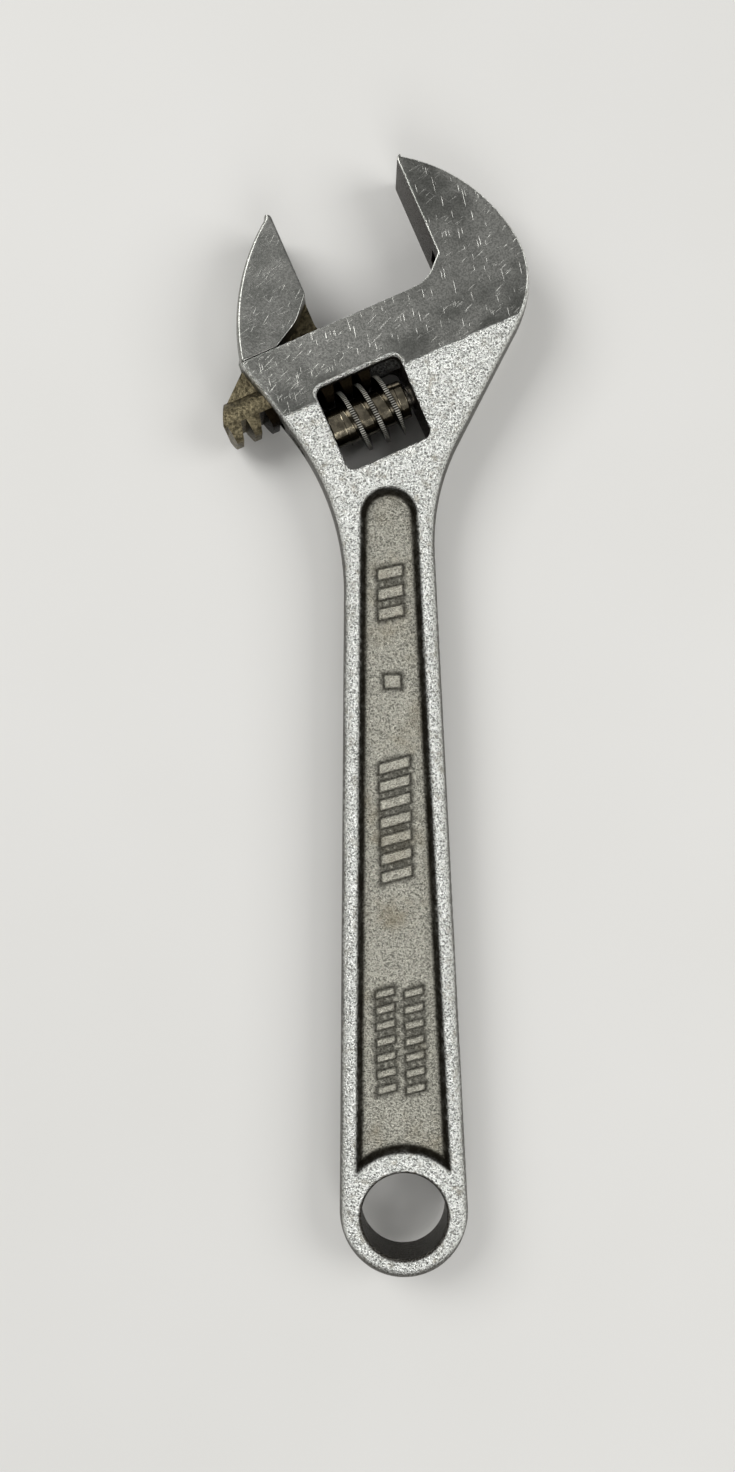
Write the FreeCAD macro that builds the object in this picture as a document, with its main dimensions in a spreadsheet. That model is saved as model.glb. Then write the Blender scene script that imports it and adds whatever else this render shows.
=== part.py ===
import FreeCAD, Part
import math
import os

import Sketcher

from FreeCAD import Placement, Rotation, Vector

# Adjustable wrench, 8 inch class, in five pieces: the forged body, the movable jaw, the worm that drives
# it, the slotted pin that the worm turns on, and the spring that takes up the worm's end play.
#
# Frame: origin at the centre of the hang hole on the middle plane, +Y along the handle towards the head,
# +X to the side of the fixed jaw, +Z out of the upper face. Millimetres.
#
# The head is laid out in a frame of its own, turned about Z by head_angle, whose origin is the point where
# the jaws' throat line crosses the centre line of the handle. There "along" runs in the direction that the
# movable jaw slides to close, and "across" runs up towards the tips of the jaws.

SIZES = (
    # overall
    ("throat_height", 164.75, "hang hole centre to the throat, along the handle"),
    ("head_angle", 22.5, "slant of the jaws, degrees"),
    ("head_thickness", 12.4, "over the ground faces of the head"),
    ("grip_thickness", 8.6, "over the rims of the handle"),
    ("web_thickness", 5.2, "between the floors of the two recess panels"),
    # handle
    ("eye_radius", 11.75, "outside of the eye"),
    ("hang_radius", 7.75, "bore of the hang hole"),
    ("hang_round", 0.7, "rounding of the hang hole's rims"),
    ("waist_width", 17.1, "narrowest width of the handle"),
    ("waist_drop", 53.0, "throat to the narrowest place, along the handle"),
    ("shoulder_round", 1.2, "rounding of the forged edges"),
    ("rim_width", 3.2, "handle's edge to the recess panel"),
    ("panel_drop", 33.4, "throat to the top of the recess panel"),
    ("eye_land", 3.95, "hang hole to the lower end of the recess panel"),
    ("panel_round", 0.8, "rounding along the floor of the recess panel"),
    ("mark_relief", 0.35, "height of the raised marks on the panel's floor"),
    # neck
    ("neck_right_slope", 28.5, "slant of the neck below the fixed jaw, degrees"),
    ("neck_right_bend", 40.0, "radius from the handle into the neck, fixed jaw side"),
    ("neck_left_slope", 37.2, "slant of the head's open end, degrees"),
    ("neck_left_bend", 48.0, "radius from the handle into the neck, open end"),
    ("grind_line", 11.9, "throat to the lower edge of the ground faces"),
    ("ramp_end", 49.0, "throat to the place where the neck has the handle's thickness"),
    # fixed jaw
    ("face_offset", 12.15, "throat origin to the face of the fixed jaw"),
    ("face_foot", 3.9, "height of the fixed jaw's face above the throat"),
    ("throat_round", 6.0, "rounding between throat and fixed jaw"),
    ("back_radius", 30.8, "back of the fixed jaw"),
    ("cheek_radius", 15.3, "cheek of the fixed jaw"),
    ("cheek_along", 11.5, "centre of the cheek, along"),
    ("cheek_across", -1.0, "centre of the cheek, across"),
    ("back_turn", 6.5, "slant of the line through the centres of cheek and back, degrees"),
    ("tip_round", 0.9, "rounding of both jaw tips"),
    ("head_end", 28.6, "throat origin to the head's open end"),
    ("forging_stock", 3.0, "height of the forging above the throat, machined away"),
    # movable jaw
    ("jaw_opening", 24.75, "between the jaw faces, as set"),
    ("jaw_back_radius", 36.9, "back of the movable jaw"),
    ("jaw_back_depth", 7.6, "throat down to the centre of that back"),
    ("jaw_foot", 15.9, "length of the movable jaw along the throat"),
    ("jaw_heel", 6.7, "height of the movable jaw's face above the throat"),
    ("undercut_foot", 8.4, "movable jaw's face to the start of its foot"),
    ("undercut_along", 3.4, "movable jaw's face to the bend of its undercut"),
    ("undercut_rise", 2.8, "throat to the bend of the undercut"),
    ("undercut_round", 7.0, "rounding of that bend"),
    ("heel_round", 1.2, "rounding below the movable jaw's face"),
    ("throat_gap", 0.12, "movable jaw over the throat"),
    ("neck_width", 4.4, "thickness of the neck between jaw and rail"),
    ("neck_gap", 0.15, "neck to each side of its slot"),
    ("neck_hollow", 3.5, "hollow corner of the neck under the jaw's face"),
    ("neck_flare", 2.0, "neck's foot beyond the movable jaw's face"),
    ("neck_set_back", 0.3, "neck's upright behind the movable jaw's face"),
    ("neck_toe_drop", 1.2, "throat to the top of the neck's foot"),
    ("neck_heel_drop", 0.4, "throat to the bend at the neck's other side"),
    ("neck_lean", 41.0, "slant of that side down to the rail, degrees"),
    ("neck_lap", 1.0, "height of the neck inside the movable jaw at its back"),
    # rail, rack and worm
    ("rail_radius", 4.2, "rail of the movable jaw"),
    ("rail_gap", 0.1, "rail to its bore, radial"),
    ("rail_depth", 8.2, "throat to the axis of the rail"),
    ("rail_reach", 7.0, "open end of the rail beyond the movable jaw"),
    ("rail_slant", 1.8, "slant of the rail's open end"),
    ("rail_lead", 5.6, "other end of the rail beyond the movable jaw's face"),
    ("end_gap", 0.6, "rail and neck to the blind end of bore and slot"),
    ("rack_flat", 0.5, "rail's surface to the tips of the rack"),
    ("rack_gap", 0.7, "tips of the rack to the root of the worm's thread"),
    ("rack_root_gap", 1.2, "crest of the worm's thread to the roots of the rack"),
    ("thread_pitch", 3.6, "pitch of worm and rack"),
    ("thread_gap", 0.2, "worm thread to rack tooth, on each side"),
    ("thread_crest", 1.1, "width of the worm's crest"),
    ("crest_start", 0.2, "worm's end to the first crest on the rack's side"),
    ("flank_angle", 11.8, "slant of the thread's flanks, degrees"),
    ("worm_radius", 6.0, "outside of the worm"),
    ("worm_root", 3.6, "root of the worm's thread"),
    ("worm_length", 15.0, "worm from end to end"),
    ("hub_radius", 3.5, "plain ends of the worm"),
    ("hub_length", 2.6, "plain end that the spring presses on the wall"),
    ("hub_short", 1.5, "plain end at the spring"),
    ("thread_run_out", 1.0, "slope at each end of the thread"),
    ("worm_end_gap", 0.12, "worm to the wall that the spring presses it on"),
    ("worm_seat_gap", 1.28, "worm to the window's other wall, where the spring is"),
    ("worm_above", 0.6, "worm to the upper wall of the window"),
    ("worm_below", 3.25, "worm to the lower wall of the window"),
    ("window_start", 18.1, "throat origin to the window's wall at the open end"),
    ("window_corner", 1.6, "corners of the window"),
    # pin and spring
    ("pin_radius", 2.0, "shank of the pin"),
    ("pin_gap", 0.1, "worm on the pin, radial"),
    ("plug_radius", 2.6, "threaded head of the pin"),
    ("seat_gap", 0.03, "pin to its holes in the body, radial"),
    ("plug_inset", 1.2, "pin head below the head's open end"),
    ("plug_free", 0.6, "pin head short of the window"),
    ("shank_free", 0.3, "pin's end to the bottom of its blind hole"),
    ("slot_width", 0.9, "screwdriver slot"),
    ("slot_depth", 1.1, "screwdriver slot"),
    ("pin_seat", 5.0, "depth of the blind hole for the pin's end"),
    ("spring_room", 2.95, "radius of the worm's pocket for the spring"),
    ("spring_depth", 4.0, "depth of that pocket"),
    ("spring_radius", 2.5, "spring, to the middle of its wire"),
    ("wire_radius", 0.22, "wire of the spring"),
    ("spring_free", 0.05, "spring to the surface at each end"),
    ("spring_turns", 3.5, "turns of the spring"),
)

doc = FreeCAD.newDocument("AdjustableWrench")
sheet = doc.addObject("Spreadsheet::Sheet", "Sheet")
for row, (alias, value, meaning) in enumerate(SIZES, start=1):
    sheet.set("A%d" % row, meaning)
    sheet.set("B%d" % row, str(value))
    sheet.setAlias("B%d" % row, alias)
doc.recompute()


def size(alias):
    """A driving dimension, read from the sheet."""
    return float(sheet.get(alias))


# ---------------------------------------------------------------- places worked out from the sheet

ANGLE = math.radians(size("head_angle"))
THROAT = Vector(0, size("throat_height"), 0)
ALONG = Vector(math.cos(ANGLE), math.sin(ANGLE), 0)
ACROSS = Vector(-math.sin(ANGLE), math.cos(ANGLE), 0)
FAR = 60.0  # further than any edge of the head, for cuts that run out of it

# heights across the head: tips of the rack, and the axis of the worm that meshes with it
TIP_LINE = -size("rail_depth") - size("rail_radius") + size("rack_flat")
WORM_AXIS = TIP_LINE - size("rack_gap") - size("worm_root")


def head_point(along, across):
    """A point of the head's frame, in the frame of the wrench."""
    return THROAT + ALONG * along + ACROSS * across


def direction(degrees):
    """The unit vector at an angle from +X."""
    return Vector(math.cos(math.radians(degrees)), math.sin(math.radians(degrees)), 0)


def crossing(point, heading, other, other_heading):
    """The point where two lines cross."""
    gap = other - point
    turn = heading.x * other_heading.y - heading.y * other_heading.x
    return point + heading * ((gap.x * other_heading.y - gap.y * other_heading.x) / turn)


def arc_at(centre, start, end, clockwise=False):
    """The arc about a centre from one point to another."""
    begin = math.atan2(start.y - centre.y, start.x - centre.x)
    sweep = (math.atan2(end.y - centre.y, end.x - centre.x) - begin) % (2 * math.pi)
    if clockwise:
        sweep -= 2 * math.pi
    radius = (start - centre).Length
    middle = centre + Vector(math.cos(begin + sweep / 2), math.sin(begin + sweep / 2), 0) * radius
    return Part.Arc(start, middle, end)


def rounded(corners):
    """Edges round a closed outline of (corner, radius) pairs, each corner rounded by its own radius."""
    ends = []
    count = len(corners)
    for index, (corner, radius) in enumerate(corners):
        back = (corners[index - 1][0] - corner).normalize()
        ahead = (corners[(index + 1) % count][0] - corner).normalize()
        half_angle = back.getAngle(ahead) / 2
        run = radius / math.tan(half_angle)
        middle = corner
        if radius > 0:
            centre = corner + (back + ahead).normalize() * (radius / math.sin(half_angle))
            middle = centre + (corner - centre).normalize() * radius
        ends.append((corner + back * run, middle, corner + ahead * run, radius))
    edges = []
    for index, (start, middle, end, radius) in enumerate(ends):
        if radius > 0:
            edges.append(Part.Arc(start, middle, end))
        edges.append(Part.LineSegment(end, ends[(index + 1) % count][0]))
    return edges


# ---------------------------------------------------------------- helpers for the document


def new_body(label):
    """An empty body whose Label names its file."""
    body = doc.addObject("PartDesign::Body", label)
    body.Label = label
    return body


def origin_plane(body, role):
    """One of a body's own origin planes."""
    return next(part for part in body.Origin.OriginFeatures if part.Role == role)


def new_sketch(body, name, role="XY_Plane"):
    """A sketch on one of a body's origin planes."""
    sketch = body.newObject("Sketcher::SketchObject", name)
    sketch.AttachmentSupport = [(origin_plane(body, role), "")]
    sketch.MapMode = "FlatFace"
    return sketch


def head_sketch(body, name, along=0.0, tilt=0.0):
    """A sketch on the middle plane with the head's frame: x along, y across. A tilt turns it about y."""
    sketch = new_sketch(body, name)
    lean = Rotation(Vector(0, 0, 1), size("head_angle")) * Rotation(Vector(0, 1, 0), tilt)
    start = ALONG * along
    sketch.AttachmentOffset = Placement(THROAT + start, lean)
    sketch.setExpression("AttachmentOffset.Base.y", "Sheet.throat_height + %r" % start.y)
    return sketch


def end_sketch(body, name, along, across):
    """A sketch square to the slide, centred on a point of the head's frame: x across, y up."""
    sketch = new_sketch(body, name, "YZ_Plane")
    centre = head_point(along, across)
    sketch.AttachmentOffset = Placement(
        Vector(centre.y, 0, centre.x), Rotation(Vector(0, 1, 0), size("head_angle"))
    )
    return sketch


def draw(sketch, edges):
    """Puts a closed run of edges into a sketch and joins each one's end to the next one's start."""
    numbers = [sketch.addGeometry(edge, False) for edge in edges]
    joins = []
    for here, there in zip(numbers, numbers[1:] + numbers[:1]):
        gaps = []
        for tail in (1, 2):
            for head in (1, 2):
                gap = sketch.getPoint(here, tail).distanceToPoint(sketch.getPoint(there, head))
                gaps.append((gap, tail, head))
        nearest = min(gaps)
        joins.append(Sketcher.Constraint("Coincident", here, nearest[1], there, nearest[2]))
    sketch.addConstraint(joins)


def draw_circle(sketch, radius_name, radius_formula):
    """A circle about the sketch's origin whose radius follows the sheet."""
    ring = sketch.addGeometry(Part.Circle(Vector(0, 0, 0), Vector(0, 0, 1), 1.0), False)
    sketch.addConstraint(Sketcher.Constraint("Coincident", ring, 3, -1, 1))
    sketch.addConstraint(Sketcher.Constraint("Radius", ring, 1.0))
    sketch.renameConstraint(1, radius_name)
    sketch.setExpression("Constraints." + radius_name, radius_formula)


def pad(body, name, sketch, formula, midplane=True, reversed_side=False):
    """Adds material along a sketch's normal."""
    feature = body.newObject("PartDesign::Pad", name)
    feature.Profile = sketch
    feature.setExpression("Length", formula)
    feature.Midplane = midplane
    feature.Reversed = reversed_side
    settle(body, name, grows=True)
    return feature


def pocket(body, name, sketch, formula=None, midplane=False, reversed_side=False):
    """Cuts along a sketch's normal: by a length from the sheet, or through all where none is given."""
    feature = body.newObject("PartDesign::Pocket", name)
    feature.Profile = sketch
    feature.Midplane = midplane
    feature.Reversed = reversed_side
    if formula is None:
        feature.Type = "ThroughAll"
    else:
        feature.setExpression("Length", formula)
    settle(body, name, grows=False)
    return feature


VOLUMES = {}


def settle(body, name, grows):
    """Recomputes, and stops if the newest feature failed or changed the solid the wrong way."""
    doc.recompute()
    volume = body.Shape.Volume
    before = VOLUMES.get(body.Name, 0.0)
    changed = volume > before + 1e-6 if grows else volume < before - 1e-6
    if not changed or not body.Shape.isValid():
        raise RuntimeError("%s in %s: volume %.3f after %.3f" % (name, body.Label, volume, before))
    VOLUMES[body.Name] = volume


def fillet(body, name, formula, wanted, grows=False):
    """Rounds the edges of a body's solid that pass a test. An inner corner grows as it is rounded."""
    names = ["Edge%d" % (i + 1) for i, edge in enumerate(body.Shape.Edges) if wanted(edge)]
    if not names:
        raise RuntimeError("%s in %s found no edge" % (name, body.Label))
    feature = body.newObject("PartDesign::Fillet", name)
    feature.Base = (body.Tip if body.Tip != feature else feature.BaseFeature, names)
    feature.setExpression("Radius", formula)
    settle(body, name, grows)
    return feature


def middle_of(edge):
    """The point half way along an edge."""
    return edge.valueAt((edge.FirstParameter + edge.LastParameter) / 2)


# ---------------------------------------------------------------- outline of the forged body

EYE_R = size("eye_radius")
WAIST = Vector(size("waist_width") / 2, size("throat_height") - size("waist_drop"), 0)

# Each side of the handle is a line that touches the eye and passes the waist.
TAPER = math.atan2(WAIST.y, WAIST.x) - math.acos(EYE_R / WAIST.Length)
SIDE_NORMAL = Vector(math.cos(TAPER), math.sin(TAPER), 0)
SIDE_RIGHT = SIDE_NORMAL * EYE_R
SIDE_LEFT = Vector(-SIDE_RIGHT.x, SIDE_RIGHT.y, 0)
UP_RIGHT = Vector(-SIDE_NORMAL.y, SIDE_NORMAL.x, 0)
UP_LEFT = Vector(SIDE_NORMAL.y, SIDE_NORMAL.x, 0)

# The fixed jaw's back and cheek are two arcs that touch where the line of their centres leaves them.
CHEEK = head_point(size("cheek_along"), size("cheek_across"))
CENTRES = direction(size("head_angle") + size("back_turn"))
BACK = CHEEK - CENTRES * (size("back_radius") - size("cheek_radius"))
CHEEK_END = CHEEK + CENTRES * size("cheek_radius")
NECK_RIGHT = direction(90 - size("neck_right_slope"))
CHEEK_START = CHEEK + direction(-size("neck_right_slope")) * size("cheek_radius")

# The head's open end is a line from the end of the throat down into the neck.
OPEN_CORNER = head_point(-size("head_end"), 0)
NECK_LEFT = direction(90 + size("neck_left_slope"))
OPEN_TOP = OPEN_CORNER + NECK_LEFT * size("forging_stock")


def bend(corner, back, ahead, radius):
    """The arc that rounds a corner between two headings, as start, middle and end."""
    half_angle = back.getAngle(ahead) / 2
    run = radius / math.tan(half_angle)
    centre = corner + (back + ahead).normalize() * (radius / math.sin(half_angle))
    return corner + back * run, centre + (corner - centre).normalize() * radius, corner + ahead * run


def tip_of(face, centre, radius, side):
    """The small arc that rounds a jaw's tip between its face and its back, in the head's frame.

    side is 1 where the jaw lies beyond its face, -1 where it lies before it.
    """
    small = size("tip_round")
    hub_along = face + side * small
    hub_across = centre[1] + math.sqrt((radius - small) ** 2 - (hub_along - centre[0]) ** 2)
    reach = math.hypot(hub_along - centre[0], hub_across - centre[1])
    touch_along = centre[0] + (hub_along - centre[0]) * radius / reach
    touch_across = centre[1] + (hub_across - centre[1]) * radius / reach
    return (hub_along, hub_across), (touch_along, touch_across)


def in_head(point):
    """A point of the wrench's frame, in the head's frame."""
    offset = point - THROAT
    return offset.dot(ALONG), offset.dot(ACROSS)


FACE = size("face_offset")
BACK_HEAD = in_head(BACK)
TIP_HUB, TIP_TOUCH = tip_of(FACE, BACK_HEAD, size("back_radius"), 1)

# ---------------------------------------------------------------- wrench_body

body = new_body("wrench_body")

right = bend(
    crossing(SIDE_RIGHT, UP_RIGHT, CHEEK_START, NECK_RIGHT),
    UP_RIGHT * -1,
    NECK_RIGHT,
    size("neck_right_bend"),
)
left = bend(
    crossing(SIDE_LEFT, UP_LEFT, OPEN_CORNER, NECK_LEFT),
    NECK_LEFT,
    UP_LEFT * -1,
    size("neck_left_bend"),
)
# the forging runs on past the fixed jaw's tip, which is machined with the gap
blank_along = FACE - size("tip_round") - size("throat_gap")
blank_across = BACK_HEAD[1] + math.sqrt(size("back_radius") ** 2 - (blank_along - BACK_HEAD[0]) ** 2)
blank_tip = head_point(blank_along, blank_across)
outline = new_sketch(body, "forged_outline")
draw(
    outline,
    [
        arc_at(Vector(0, 0, 0), SIDE_LEFT, SIDE_RIGHT),
        Part.LineSegment(SIDE_RIGHT, right[0]),
        Part.Arc(*right),
        Part.LineSegment(right[2], CHEEK_START),
        arc_at(CHEEK, CHEEK_START, CHEEK_END),
        arc_at(BACK, CHEEK_END, blank_tip),
        Part.LineSegment(blank_tip, OPEN_TOP),
        Part.LineSegment(OPEN_TOP, left[0]),
        Part.Arc(*left),
        Part.LineSegment(left[2], SIDE_LEFT),
    ],
)
pad(body, "forging", outline, "2 * Sheet.head_thickness")

# Seen from the side, the forging has the handle's thickness up to ramp_end, then a hollow arc that passes
# the grinding line at the head's finished thickness and goes on straight: the head is ground later.
forged_half = size("head_thickness")
ground_half = size("head_thickness") / 2
grip_half = size("grip_thickness") / 2
grind_across = -size("grind_line")
ramp_across = -size("ramp_end")
ramp_rise = ground_half - grip_half
# the arc has the handle's face as its tangent at the ramp's end and passes the grinding line
ramp_run = grind_across - ramp_across
ramp_radius = (ramp_run**2 + ramp_rise**2) / (2 * ramp_rise)
ramp_lean = math.asin(ramp_run / ramp_radius)
slope_top = grind_across + (forged_half - ground_half) / math.tan(ramp_lean)
ramp = end_sketch(body, "thickness", 0, 0)
for side in (1, -1):
    foot = Vector(ramp_across, side * grip_half, 0)
    grind = Vector(grind_across, side * ground_half, 0)
    halfway = Vector(
        ramp_across + ramp_radius * math.sin(ramp_lean / 2),
        side * (grip_half + ramp_radius * (1 - math.cos(ramp_lean / 2))),
        0,
    )
    top = Vector(slope_top + FAR, side * (forged_half + FAR * math.tan(ramp_lean)), 0)
    low = Vector(-4 * FAR, side * grip_half, 0)
    corner = Vector(-4 * FAR, top.y, 0)
    profile = [
        Part.LineSegment(low, foot),
        Part.Arc(foot, halfway, grind),
        Part.LineSegment(grind, top),
        Part.LineSegment(top, corner),
        Part.LineSegment(corner, low),
    ]
    draw(ramp, profile)
pocket(body, "ease_thickness", ramp, midplane=True)

# Both faces of the head are ground flat.
grinding = end_sketch(body, "grinding", 0, 0)
for side in (1, -1):
    near = side * ground_half
    far = side * (ground_half + 10)
    draw(
        grinding,
        rounded(
            [
                (Vector(-2 * FAR, near, 0), 0),
                (Vector(2 * FAR, near, 0), 0),
                (Vector(2 * FAR, far, 0), 0),
                (Vector(-2 * FAR, far, 0), 0),
            ]
        ),
    )
pocket(body, "ground_faces", grinding, midplane=True)


def is_forged_edge(edge):
    """An edge between the forging's side and the handle or the slope of the neck, on either face."""
    point = middle_of(edge)
    ends = (edge.FirstParameter, edge.LastParameter)
    heights = [in_head(edge.valueAt(end))[1] for end in ends]
    crosses_face = edge.Length > 0.9 * size("waist_width") and abs(heights[0] - heights[1]) < 0.01
    upright = abs(edge.tangentAt(ends[0]).z) > 0.5
    return grip_half - 0.01 < abs(point.z) < ground_half - 0.01 and not crosses_face and not upright


fillet(body, "shoulders", "Sheet.shoulder_round", is_forged_edge)

# The gap between the jaws is machined: throat, corner and the face of the fixed jaw, up round its tip.
gap = head_sketch(body, "jaw_gap")
hub = Vector(TIP_HUB[0], TIP_HUB[1], 0)
touch = Vector(TIP_TOUCH[0], TIP_TOUCH[1], 0)
face_top = Vector(FACE, TIP_HUB[1], 0)
clear = touch + (touch - hub).normalize() * 4
foot = Vector(FACE, size("face_foot"), 0)
corner = Vector(FACE - size("face_foot"), 0, 0)
corner_bend = bend(corner, Vector(1, 1, 0).normalize(), Vector(-1, 0, 0), size("throat_round"))
draw(
    gap,
    [
        Part.LineSegment(foot, face_top),
        arc_at(hub, face_top, touch, clockwise=True),
        Part.LineSegment(touch, clear),
        Part.LineSegment(clear, Vector(-FAR, clear.y + 10, 0)),
        Part.LineSegment(Vector(-FAR, clear.y + 10, 0), Vector(-FAR, 0, 0)),
        Part.LineSegment(Vector(-FAR, 0, 0), corner_bend[2]),
        Part.Arc(corner_bend[2], corner_bend[1], corner_bend[0]),
        Part.LineSegment(corner_bend[0], foot),
    ],
)
pocket(body, "jaw_gap_cut", gap, midplane=True)

# Hang hole.
hang = new_sketch(body, "hang_hole")
draw_circle(hang, "hang_bore", "Sheet.hang_radius")
pocket(body, "hang_bore_cut", hang, midplane=True)

# Recess panel on each side of the handle: two sides at rim_width inside the handle's own, a round upper
# end that touches both, and a hollow lower end about the eye.
rim = size("rim_width")
panel_top = size("throat_height") - size("panel_drop")
inner_right = SIDE_RIGHT - SIDE_NORMAL * rim
# the round end's centre lies on the centre line, as far from the sides as from the top
end_y = (panel_top - inner_right.dot(SIDE_NORMAL)) / (1 - math.sin(TAPER))
end_radius = panel_top - end_y
end_touch = Vector(0, end_y, 0) + SIDE_NORMAL * end_radius
land = size("hang_radius") + size("eye_land")
along_side = math.sqrt(land**2 - inner_right.dot(SIDE_NORMAL) ** 2)
land_corner = SIDE_NORMAL * inner_right.dot(SIDE_NORMAL) + UP_RIGHT * along_side
for side, name in ((1, "upper"), (-1, "lower")):
    panel = new_sketch(body, name + "_panel")
    panel.AttachmentOffset = Placement(Vector(0, 0, side * size("web_thickness") / 2), Rotation())
    panel.setExpression("AttachmentOffset.Base.z", "%d * Sheet.web_thickness / 2" % side)
    mirrored_touch = Vector(-end_touch.x, end_touch.y, 0)
    mirrored_corner = Vector(-land_corner.x, land_corner.y, 0)
    draw(
        panel,
        [
            Part.LineSegment(land_corner, end_touch),
            arc_at(Vector(0, end_y, 0), end_touch, mirrored_touch),
            Part.LineSegment(mirrored_touch, mirrored_corner),
            arc_at(Vector(0, 0, 0), mirrored_corner, land_corner, clockwise=True),
        ],
    )
    pocket(body, name + "_panel_cut", panel, reversed_side=side > 0)


def is_panel_floor(edge):
    """An edge round the floor of a recess panel."""
    point = middle_of(edge)
    on_floor = abs(abs(point.z) - size("web_thickness") / 2) < 0.001
    flat = abs(edge.tangentAt(edge.FirstParameter).z) < 0.001
    return on_floor and flat and point.y > size("hang_radius")


fillet(body, "panel_floor_round", "Sheet.panel_round", is_panel_floor, grows=True)


def is_hang_rim(edge):
    """The rim of the hang hole on either face."""
    round_edge = hasattr(edge.Curve, "Radius") and hasattr(edge.Curve, "Center")
    return round_edge and edge.Curve.Center.Length < grip_half + 0.01 and (
        abs(edge.Curve.Radius - size("hang_radius")) < 0.001
    )


fillet(body, "hang_rim_round", "Sheet.hang_round", is_hang_rim)

# Window for the worm, right through the head.
window = head_sketch(body, "worm_window")
start = -size("window_start")
end = start + size("worm_end_gap") + size("worm_length") + size("worm_seat_gap")
top = WORM_AXIS + size("worm_radius") + size("worm_above")
bottom = WORM_AXIS - size("worm_radius") - size("worm_below")
corners = [Vector(*at, 0) for at in ((start, top), (end, top), (end, bottom), (start, bottom))]
draw(window, rounded([(corner, size("window_corner")) for corner in corners]))
pocket(body, "window_cut", window, midplane=True)

# Bore for the rail: blind under the fixed jaw, open at the head's open end. Its far end leaves room for
# the rail when the jaws are closed.
rail_end = -(size("jaw_opening") - FACE) + size("rail_lead")
bore_end = rail_end + size("jaw_opening") + size("end_gap")
bore = end_sketch(body, "rail_bore", bore_end, -size("rail_depth"))
draw_circle(bore, "bore_size", "Sheet.rail_radius + Sheet.rail_gap")
pocket(body, "rail_bore_cut", bore)

# Slot for the movable jaw's neck, from the bore up through the throat and the foot of the fixed jaw.
slot = head_sketch(body, "neck_slot")
slot_end = FACE + size("neck_flare") + size("end_gap")
slot_top = size("face_foot") + size("neck_flare")
corners = [
    Vector(*at, 0)
    for at in (
        (-FAR, -size("rail_depth")),
        (slot_end, -size("rail_depth")),
        (slot_end, slot_top),
        (-FAR, slot_top),
    )
]
draw(slot, rounded([(corner, 0) for corner in corners]))
pocket(body, "neck_slot_cut", slot, "Sheet.neck_width + 2 * Sheet.neck_gap", midplane=True)

# Holes for the pin: blind for its end beyond the window, right through the wall at the open end, where
# its threaded head screws in.
seat_end = end + size("pin_seat")
shank_hole = end_sketch(body, "pin_hole", seat_end, WORM_AXIS)
draw_circle(shank_hole, "pin_hole_size", "Sheet.pin_radius + Sheet.seat_gap")
pocket(body, "pin_hole_cut", shank_hole)
plug_hole = end_sketch(body, "plug_hole", start + 1, WORM_AXIS)
draw_circle(plug_hole, "plug_hole_size", "Sheet.plug_radius + Sheet.seat_gap")
pocket(body, "plug_hole_cut", plug_hole)

# Raised marks on the panels' floors, in four groups down the handle: plain bars and lozenges that lean.
panel_low = land
panel_length = panel_top - panel_low
MARKS = (
    # middle of the group up the panel as a share of its length, sideways places, rows, spacing,
    # bar's width, bar's height, lean
    (0.845, (0.0,), 3, 3.6, 4.6, 2.0, 0.9),
    (0.71, (0.0,), 1, 0.0, 3.0, 2.4, 0.0),
    (0.50, (0.0,), 7, 3.3, 5.6, 1.9, 1.4),
    (0.165, (-2.6, 2.6), 7, 2.9, 3.4, 1.3, 0.8),
)
CORNER_SHARE = 0.2  # rounding of a mark's corners as a share of its height
for side, name in ((1, "upper"), (-1, "lower")):
    marks = new_sketch(body, name + "_marks")
    marks.AttachmentOffset = Placement(Vector(0, 0, side * size("web_thickness") / 2), Rotation())
    marks.setExpression("AttachmentOffset.Base.z", "%d * Sheet.web_thickness / 2" % side)
    for share, places, count, spacing, width, height, lean in MARKS:
        for index in range(count):
            rise = panel_low + panel_length * share + (index - (count - 1) / 2) * spacing
            for place in places:
                corners = [
                    Vector(place + x * width / 2, rise + y * height / 2 + x * lean / 2, 0)
                    for x, y in ((-1, -1), (1, -1), (1, 1), (-1, 1))
                ]
                draw(marks, rounded([(corner, height * CORNER_SHARE) for corner in corners]))
    pad(body, name + "_marks_pad", marks, "Sheet.mark_relief", midplane=False, reversed_side=side < 0)

# ---------------------------------------------------------------- movable_jaw

JAW_FACE = FACE - size("jaw_opening")
JAW_HEEL = JAW_FACE - size("jaw_foot")
RAIL_START = JAW_HEEL - size("rail_reach")
RAIL_END = JAW_FACE + size("rail_lead")
WORM_START = -size("window_start") + size("worm_end_gap")

body = new_body("movable_jaw")

# The rail: a round bar along the slide.
rail = end_sketch(body, "rail_section", RAIL_START, -size("rail_depth"))
draw_circle(rail, "rail_size", "Sheet.rail_radius")
pad(body, "rail", rail, "Sheet.jaw_foot + Sheet.rail_reach + Sheet.rail_lead", midplane=False)

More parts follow.
